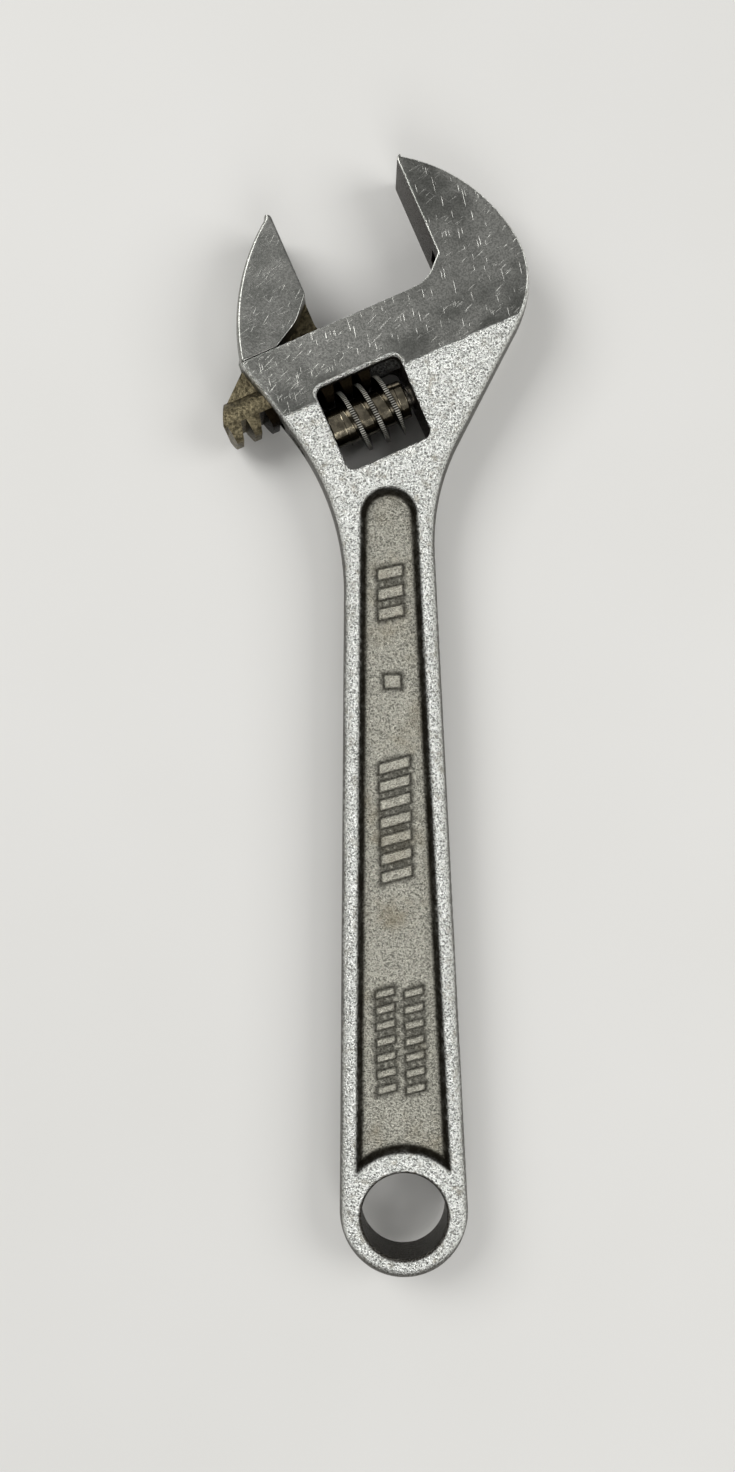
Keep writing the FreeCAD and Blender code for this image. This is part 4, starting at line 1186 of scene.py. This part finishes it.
@dataclass(frozen=True)
class Finish:
    """What the finishes share: a name, the start and end of a node tree, and coats of colour."""

    name: str

    def start(self) -> tuple[bpy.types.Material, Tree, bpy.types.NodeSocket]:
        """A new material, its empty tree and its Object coordinates."""
        material = bpy.data.materials.new(self.name)
        material.use_nodes = True
        tree = material.node_tree
        tree.nodes.clear()
        return material, tree, add(tree, "TexCoord", {}, {}).outputs["Object"]

    def close(
        self, tree: Tree, colour: Node, rough: object, height: Node, strength: float, depth: float
    ) -> None:
        """Adds the bump, the metal shader and the output.

        Args:
            tree: The material's nodes.
            colour: The metal's colour.
            rough: Its roughness, as a number or a node.
            height: What the bump follows.
            strength: The bump's strength.
            depth: The bump's depth in millimetres.
        """
        bump = add(tree, "Bump", {}, {"Strength": strength, "Distance": depth * MM, "Height": height})
        inputs = {"Base Color": colour, "Roughness": rough, "Metallic": 1.0, "Normal": bump}
        add(tree, "OutputMaterial", {}, {"Surface": add(tree, "BsdfPrincipled", {}, inputs)})

    def coats(self, tree: Tree, colour: Node, layers: tuple) -> Node:
        """Lays colours over one another, each where its pattern times its strength says.

        Args:
            tree: The material's nodes.
            colour: The lowest colour.
            layers: (pattern, strength, hex colour) of each coat, from the lowest up.

        Returns:
            The colour of them all.
        """
        for pattern, strength, code in layers:
            share = add(tree, "Math", TIMES, {0: pattern, 1: strength})
            colour = add(tree, "Mix", COLOURS, {"Factor": share, "A": colour, "B": linear(code)})
        return colour

    def across_head(self, tree: Tree, split: object, scale: float, offset: float) -> Node:
        """How far a place lies towards the tips of the jaws: scale (y cos slant - x sin slant) + offset."""
        sideways = add(tree, "Math", TIMES, {0: split["X"], 1: -HEAD.along[1] * scale})
        rise = add(tree, "Math", TIMES, {0: split["Y"], 1: HEAD.along[0] * scale})
        total = add(tree, "Math", PLUS, {0: sideways, 1: rise})
        return add(tree, "Math", PLUS, {0: total, 1: offset})

    def drawn_out(
        self, tree: Tree, place: object, turn: float, number: int, length: float, size: float, detail: float
    ) -> Node:
        """Noise drawn out along one direction.

        Args:
            tree: The material's nodes.
            place: Object coordinates.
            turn: The direction in degrees.
            number: Sets patterns apart, because each number starts in another place.
            length: How many times longer than wide its marks are.
            size: Their width in millimetres.
            detail: How much finer noise lies on them.

        Returns:
            The noise.
        """
        inputs = {
            "Vector": place,
            "Location": (0.013 * number, 0.007 * number, 0.0),
            "Rotation": (0.0, 0.0, math.radians(turn)),
            "Scale": (1.0, length, 1.0),
        }
        drawn = add(tree, "Mapping", {"vector_type": "TEXTURE"}, inputs)
        inputs = {"Vector": drawn, "Scale": per_mm(size), "Detail": detail, "Roughness": ROUGH}
        return add(tree, "TexNoise", {}, inputs)

    def ground_steel(
        self, tree: Tree, place: object, clouded: Node, turns: tuple, light: str, dull: str
    ) -> tuple[Node, Node, Node]:
        """Steel ground on a belt: clouded satin with a brushed grain, dull specks and straight scratches.

        The belt's grain is 0.22 mm wide. Scratches are the peaks of noise drawn out 12 times along each
        direction; real ones are finer than shows at this distance, so they are drawn 0.26 mm wide.

        Args:
            tree: The material's nodes.
            place: Object coordinates.
            clouded: How far the steel is dulled.
            turns: Directions of the scratches, in degrees.
            light: Hex colour where it is bright.
            dull: Hex colour where it is dulled.

        Returns:
            The colour, the scratches and the belt's grain.
        """
        scratches = None
        for number, turn in enumerate(turns):
            noise = self.drawn_out(tree, place, turn, number, 12.0, 0.26, 0.0)
            cuts = add(tree, "MapRange", SOFT, {"Value": noise, "From Min": 0.72, "From Max": 0.84})
            if scratches is not None:
                cuts = add(tree, "Math", {"operation": "MAXIMUM"}, {0: scratches, 1: cuts})
            scratches = cuts
        belt = self.drawn_out(tree, place, HEAD.slant + 66, 0, 24.0, 0.22, 3.0)
        inputs = {"Vector": place, "Scale": per_mm(0.3), "Detail": 3.0, "Roughness": ROUGH}
        fine = add(tree, "TexNoise", {}, inputs)
        streaks, specks = (
            add(tree, "MapRange", SOFT, {"Value": value, "From Min": low, "From Max": high})
            for value, low, high in ((belt, 0.35, 0.65), (fine, 0.4, 0.62))
        )
        colour = add(tree, "Mix", COLOURS, {"Factor": clouded, "A": linear(light), "B": linear(dull)})
        layers = ((streaks, 0.2, "#A9A8A3"), (specks, 0.45, "#4A4B47"), (scratches, 0.3, "#C6C5C0"))
        return self.coats(tree, colour, layers), scratches, belt


@dataclass(frozen=True)
class PlatedForging(Finish):
    """Chrome-vanadium steel, drop forged, shot-blasted and nickel plated, the head's faces ground bare.

    Blasting leaves dimples about 0.5 mm wide that break every highlight into sparkle; grinding leaves a
    darker, even satin crossed by fine scratches. Painted shade darkens the walls of the window, bores and jaw
    faces, the hang hole's rim, the step of the recess with the edges of its marks, and the outer shoulders of
    the outline.
    """

    blasted: str = "#E9EAE5"
    blasted_low: str = "#7D7E79"
    worn: str = "#A09C90"
    ground: str = "#B4B4AE"
    ground_low: str = "#747570"
    recess: str = "#B2B0A4"
    recess_low: str = "#78776E"
    stain: str = "#857C66"
    mark: str = "#C4C0B2"
    # Painted shade along the recess's step and round the marks.
    recess_shade: str = "#1C1912"
    # The scale colour is painted shade on the outer shoulders of the forged outline.
    scale: str = "#3F3C35"
    # The oil colour is painted shade on the walls of bores, window and jaw faces and round the hang hole.
    oil: str = "#261F15"
    turns: tuple[float, float, float, float] = (12.0, 55.0, 118.0, 135.0)
    ground_line: float = -11.9
    ground_level: float = 6.12

    def make(self) -> bpy.types.Material:
        """Builds the material."""
        material, tree, place = self.start()
        split = add(tree, "SeparateXYZ", {}, {"Vector": place}).outputs
        floor, recess_shade, mark, inner, side = (
            add(tree, "Attribute", {"attribute_name": name}, {}).outputs["Fac"]
            for name in ("floor", "recess_shade", "mark", "inner", "side")
        )
        ragged, grain, mottle, cloud = (
            add(tree, "TexNoise", {}, {"Vector": place, "Scale": per_mm(s), "Detail": d, "Roughness": ROUGH})
            for s, d in ((2.2, 3.0), (0.34, 1.5), (1.8, 4.0), (11.0, 3.0))
        )
        q = self.across_head(tree, split, 1 / MM, -HEAD.throat * HEAD.along[0])
        ragged = add(tree, "Math", TIMES, {0: ragged, 1: 0.9})
        line_at = add(tree, "Math", PLUS, {0: q, 1: ragged})
        level = add(tree, "Math", {"operation": "ABSOLUTE"}, {0: split["Z"]})
        above, on_face, speck, rubbed, stained, clouded, recess_shade_mottle = (
            add(tree, "MapRange", SOFT, {"Value": value, "From Min": low, "From Max": high})
            for value, low, high in (
                (line_at, self.ground_line + 0.25, self.ground_line + 0.65),
                (level, self.ground_level * MM, (self.ground_level + 0.05) * MM),
                (grain, 0.3, 0.58),
                (mottle, 0.5, 0.8),
                (cloud, 0.5, 0.75),
                (cloud, 0.38, 0.68),
                (mottle, 0.2, 0.6),
            )
        )
        ground = add(tree, "Math", TIMES, {0: above, 1: on_face})
        bare, scratches, belt = self.ground_steel(
            tree, place, clouded, self.turns, self.ground, self.ground_low
        )
        low, high = linear(self.blasted_low), linear(self.blasted)
        colour = add(tree, "Mix", COLOURS, {"Factor": speck, "A": low, "B": high})
        colour = add(tree, "Mix", COLOURS, {"Factor": rubbed, "A": colour, "B": linear(self.worn)})
        low, high = linear(self.recess_low), linear(self.recess)
        pit = add(tree, "Mix", COLOURS, {"Factor": speck, "A": low, "B": high})
        pit = self.coats(tree, pit, ((stained, 0.6, self.stain),))
        # Painted shade, near black and a little patchy, along the recess's step and round the marks.
        recess_shade_mottle = add(tree, "Mix", NUMBERS, {"Factor": recess_shade_mottle, "A": 0.86, "B": 0.99})
        recess_shade_share = add(tree, "Math", TIMES, {0: recess_shade, 1: recess_shade_mottle})
        for share, over in ((floor, pit), (ground, bare), (recess_shade_share, linear(self.recess_shade))):
            colour = add(tree, "Mix", COLOURS, {"Factor": share, "A": colour, "B": over})
        # Painted shade: dark on the outer shoulders, near-black brown on the walls of bores, window and jaw
        # faces and round the hang hole.
        layers = ((mark, 0.3, self.mark), (side, 0.9, self.scale), (inner, 0.98, self.oil))
        colour = self.coats(tree, colour, layers)
        rough = 0.36
        for share, over in ((ground, 0.27), (floor, 0.42), (recess_shade_share, 0.7)):
            rough = add(tree, "Mix", NUMBERS, {"Factor": share, "A": rough, "B": over})
        blast = add(tree, "Mix", NUMBERS, {"Factor": ground, "A": 1.0, "B": 0.0})
        height = add(tree, "Math", TIMES, {0: grain, 1: blast})
        for pattern, depth in ((scratches, -0.04), (belt, 0.05)):
            on_ground = add(tree, "Math", TIMES, {0: pattern, 1: ground})
            cut = add(tree, "Math", TIMES, {0: on_ground, 1: depth})
            height = add(tree, "Math", PLUS, {0: height, 1: cut})
        self.close(tree, colour, rough, height, 1.0, 0.5)
        return material


@dataclass(frozen=True)
class GroundJaw(Finish):
    """The same steel, ground on both faces; its neck and rail are left rough and brown with old oil, with
    painted shade making them near black inside the window and lighter brown where lit at the rail's open end
    and on the neck.
    """

    ground: str = "#A0A09B"
    ground_low: str = "#80817C"
    # Painted shade, near black, for rail and rack in the window; the next colour is the same steel where lit,
    # with patchy wear.
    rough: str = "#120E08"
    worn: str = "#8E8469"
    turns: tuple[float, float, float, float] = (48.0, 112.0, 125.0, 150.0)

    def make(self) -> bpy.types.Material:
        """Builds the material."""
        material, tree, place = self.start()
        inner, lit_end_and_neck = (
            add(tree, "Attribute", {"attribute_name": name}, {}).outputs["Fac"]
            for name in ("inner", "lit_end_and_neck")
        )
        cloud, grain = (
            add(tree, "TexNoise", {}, {"Vector": place, "Scale": per_mm(s), "Detail": d, "Roughness": ROUGH})
            for s, d in ((7.0, 3.0), (0.6, 4.0))
        )
        clouded, patchy = (
            add(tree, "MapRange", SOFT, {"Value": value, "From Min": low, "From Max": high})
            for value, low, high in ((cloud, 0.35, 0.7), (grain, 0.3, 0.7))
        )
        bare, scratches, belt = self.ground_steel(
            tree, place, clouded, self.turns, self.ground, self.ground_low
        )
        patchy = add(tree, "Mix", NUMBERS, {"Factor": patchy, "A": 0.15, "B": 0.75})
        # Lit brown with patchy wear at the open end and on the neck; elsewhere painted shade, near black.
        lit_and_rubbed = add(tree, "Math", TIMES, {0: lit_end_and_neck, 1: patchy})
        low, high = linear(self.rough), linear(self.worn)
        brown = add(tree, "Mix", COLOURS, {"Factor": lit_and_rubbed, "A": low, "B": high})
        colour = add(tree, "Mix", COLOURS, {"Factor": inner, "A": bare, "B": brown})
        rough = add(tree, "Mix", NUMBERS, {"Factor": inner, "A": 0.27, "B": 0.4})
        cut = add(tree, "Math", TIMES, {0: scratches, 1: -0.04})
        brushed = add(tree, "Math", TIMES, {0: belt, 1: 0.05})
        polish = add(tree, "Math", PLUS, {0: cut, 1: brushed})
        height = add(tree, "Mix", NUMBERS, {"Factor": inner, "A": polish, "B": grain})
        self.close(tree, colour, rough, height, 0.7, 0.3)
        return material


@dataclass(frozen=True)
class OiledWorm(Finish):
    """Hardened steel, thread milled and knurled: its flanks near black with painted shade and old oil, its
    crests worn bright.
    """

    dark: str = "#0B0906"
    bright: str = "#A6A49B"
    root: str = "#8F8775"
    crust: str = "#4A3D29"
    teeth: float = 84.0

    def make(self) -> bpy.types.Material:
        """Builds the material."""
        material, tree, place = self.start()
        split = add(tree, "SeparateXYZ", {}, {"Vector": place}).outputs
        crest, depth = (
            add(tree, "Attribute", {"attribute_name": name}, {}).outputs["Fac"] for name in ("crest", "depth")
        )
        q = self.across_head(tree, split, 1.0, -(HEAD.throat * HEAD.along[0] + HEAD.worm_q) * MM)
        angle = add(tree, "Math", {"operation": "ARCTAN2"}, {0: split["Z"], 1: q})
        knurl = add(tree, "Math", TIMES, {0: angle, 1: self.teeth})
        knurl = add(tree, "Math", {"operation": "SINE"}, {0: knurl})
        grain, patch = (
            add(tree, "TexNoise", {}, {"Vector": place, "Scale": per_mm(s), "Detail": d, "Roughness": ROUGH})
            for s, d in ((0.5, 3.0), (1.4, 2.0))
        )
        notch, worn, crusted = (
            add(tree, "MapRange", SOFT, {"Value": value, "From Min": low, "From Max": high})
            for value, low, high in ((knurl, -0.5, 0.6), (patch, 0.4, 0.6), (grain, 0.5, 0.7))
        )
        notched = add(tree, "Mix", NUMBERS, {"Factor": notch, "A": 0.05, "B": 1.0})
        top = add(tree, "Math", TIMES, {0: crest, 1: notched})
        worn = add(tree, "Mix", NUMBERS, {"Factor": worn, "A": 0.55, "B": 1.0})
        # Roots keep their steel colour; the flanks between the crests get painted shade with old oil, near
        # black.
        root_share = add(tree, "Math", TIMES, {0: depth, 1: worn})
        low, high = linear(self.dark), linear(self.root)
        colour = add(tree, "Mix", COLOURS, {"Factor": root_share, "A": low, "B": high})
        colour = self.coats(tree, colour, ((crusted, 0.25, self.crust),))
        colour = add(tree, "Mix", COLOURS, {"Factor": top, "A": colour, "B": linear(self.bright)})
        rough = add(tree, "Mix", NUMBERS, {"Factor": crest, "A": 0.16, "B": 0.4})
        cut = add(tree, "Math", TIMES, {0: notch, 1: crest})
        pitted = add(tree, "Math", TIMES, {0: grain, 1: 0.08})
        height = add(tree, "Math", PLUS, {0: cut, 1: pitted})
        self.close(tree, colour, rough, height, 0.7, 0.2)
        return material


@dataclass(frozen=True)
class TurnedPin(Finish):
    """Plain turned steel, dulled by a patchy film of oil."""

    colour: str = "#77736A"
    film: str = "#4A4336"
    patch: float = 0.4
    detail: float = 3.0
    roughness: float = 0.36
    strength: float = 0.3
    depth: float = 0.1

    def make(self) -> bpy.types.Material:
        """Builds the material."""
        material, tree, place = self.start()
        inputs = {"Vector": place, "Scale": per_mm(self.patch), "Detail": self.detail, "Roughness": ROUGH}
        grain = add(tree, "TexNoise", {}, inputs)
        share = add(tree, "MapRange", SOFT, {"Value": grain, "From Min": 0.35, "From Max": 0.7})
        low, high = linear(self.colour), linear(self.film)
        colour = add(tree, "Mix", COLOURS, {"Factor": share, "A": low, "B": high})
        self.close(tree, colour, self.roughness, grain, self.strength, self.depth)
        return material


@dataclass(frozen=True)
class DrawnWire(TurnedPin):
    """Spring wire, drawn and blued, so dark and fairly glossy."""

    colour: str = "#4A4742"
    film: str = "#2C2823"
    patch: float = 0.3
    detail: float = 2.0
    roughness: float = 0.32
    strength: float = 0.2
    depth: float = 0.05


@dataclass(frozen=True)
class PaleFloor(Finish):
    """Matt painted board, a little uneven in tone."""

    colour: str = "#CDCCC9"
    cloud: str = "#C8C7C3"
    patch: float = 60.0

    def make(self) -> bpy.types.Material:
        """Builds the material."""
        material, tree, place = self.start()
        inputs = {"Vector": place, "Scale": per_mm(self.patch), "Detail": 2.0, "Roughness": ROUGH}
        patches = add(tree, "TexNoise", {}, inputs)
        low, high = linear(self.colour), linear(self.cloud)
        colour = add(tree, "Mix", COLOURS, {"Factor": patches, "A": low, "B": high})
        shader = add(tree, "BsdfPrincipled", {}, {"Base Color": colour, "Roughness": 0.8})
        add(tree, "OutputMaterial", {}, {"Surface": shader})
        return material


# ------------------------------------------------------------------ the studio


@dataclass
class Studio:
    """Pale floor, soft light and a camera straight above."""

    floor_z: float = -HEAD.half
    eye: tuple[float, float, float] = (-4.75, 86.85, 225.0)
    roll: float = -1.25
    lens: float = 29.96

    def floor(self) -> None:
        """A wide flat board under the wrench."""
        reach = 1500.0
        points = np.array([(-reach, -reach), (reach, -reach), (reach, reach), (-reach, reach)])
        points = np.column_stack([points, np.full(4, self.floor_z)])
        board = solid("floor", points, [[0, 1, 2, 3]])
        board.data.materials.append(PaleFloor("painted board").make())

    def lamp(self, name: str, place: tuple, size: float, power: float, aim: tuple) -> None:
        """A square soft lamp.

        Args:
            name: Its name.
            place: Where it hangs, in millimetres.
            size: Its side, in millimetres.
            power: Its power in watts.
            aim: What it faces, in millimetres.
        """
        light = bpy.data.lights.new(name, "AREA")
        light.size = size * MM
        light.energy = power
        thing = bpy.data.objects.new(name, light)
        heading = Vector(aim) - Vector(place)
        turn = heading.to_track_quat("-Z", "Y").to_matrix().to_4x4()
        thing.matrix_world = Matrix.Translation(Vector(place) * MM) @ turn
        bpy.context.scene.collection.objects.link(thing)

    def lights(self) -> None:
        """Three soft lamps and an even surround."""
        centre = (0.0, 95.0, 0.0)
        self.lamp("key", (-420.0, 420.0, 520.0), 420.0, 3.6, centre)
        self.lamp("fill", (520.0, 120.0, 480.0), 420.0, 2.4, centre)
        self.lamp("back", (60.0, -420.0, 480.0), 360.0, 1.6, centre)
        world = bpy.data.worlds.new("studio")
        world.use_nodes = True
        world.node_tree.nodes["Background"].inputs["Color"].default_value = (1.0, 1.0, 1.0, 1.0)
        world.node_tree.nodes["Background"].inputs["Strength"].default_value = 0.35
        bpy.context.scene.world = world

    def camera(self) -> None:
        """The camera, looking straight down with the handle nearly upright in its view."""
        data = bpy.data.cameras.new("camera")
        data.lens = self.lens
        data.sensor_width = 36.0
        data.clip_start = 0.01
        thing = bpy.data.objects.new("camera", data)
        turn = Matrix.Rotation(math.radians(self.roll), 4, "Z")
        thing.matrix_world = Matrix.Translation(Vector(self.eye) * MM) @ turn
        bpy.context.scene.collection.objects.link(thing)
        bpy.context.scene.camera = thing

    def build(self) -> None:
        """Makes floor, lights and camera."""
        self.camera()
        self.floor()
        self.lights()


# ------------------------------------------------------------------ assembly


class Carrier(Enum):
    """The CAD bodies that pieces ride on."""

    FRAME = "frame"
    JAW = "jaw"
    WORM = "worm_screw"


def fit(piece: bpy.types.Object, finish: bpy.types.Material, node: str, carrier: Carrier) -> None:
    """Dresses a piece and puts it in place of its CAD node.

    Args:
        piece: The piece.
        finish: Its material.
        node: The CAD node that it stands for.
        carrier: The body that it rides on.
    """
    piece.data.materials.clear()
    piece.data.materials.append(finish)
    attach(piece, carrier.value)
    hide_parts(node)
    LOG.info("%s: %d faces, stands for %s", piece.name, len(piece.data.polygons), node)


def main() -> None:
    """Builds the studio, then each sub-assembly in turn."""
    logging.basicConfig(level=logging.INFO, format="%(name)s: %(message)s")
    bpy.context.scene.view_settings.view_transform = "Standard"
    Studio().build()
    forging = PlatedForging("forged chrome-vanadium steel, blasted and plated").make()
    fit(WrenchBody().build(), forging, "wrench_body", Carrier.FRAME)
    jaw = GroundJaw("forged steel, ground faces").make()
    fit(MovableJaw().build(), jaw, "movable_jaw", Carrier.JAW)
    worm = OiledWorm("hardened steel, milled and oiled").make()
    fit(Worm().build(), worm, "worm", Carrier.WORM)
    pin = TurnedPin("turned steel").make()
    fit(WormPin().build(), pin, "worm_pin", Carrier.FRAME)
    wire = DrawnWire("drawn spring wire").make()
    fit(WormSpring().build(), wire, "worm_spring", Carrier.FRAME)


if __name__ == "__main__":
    main()
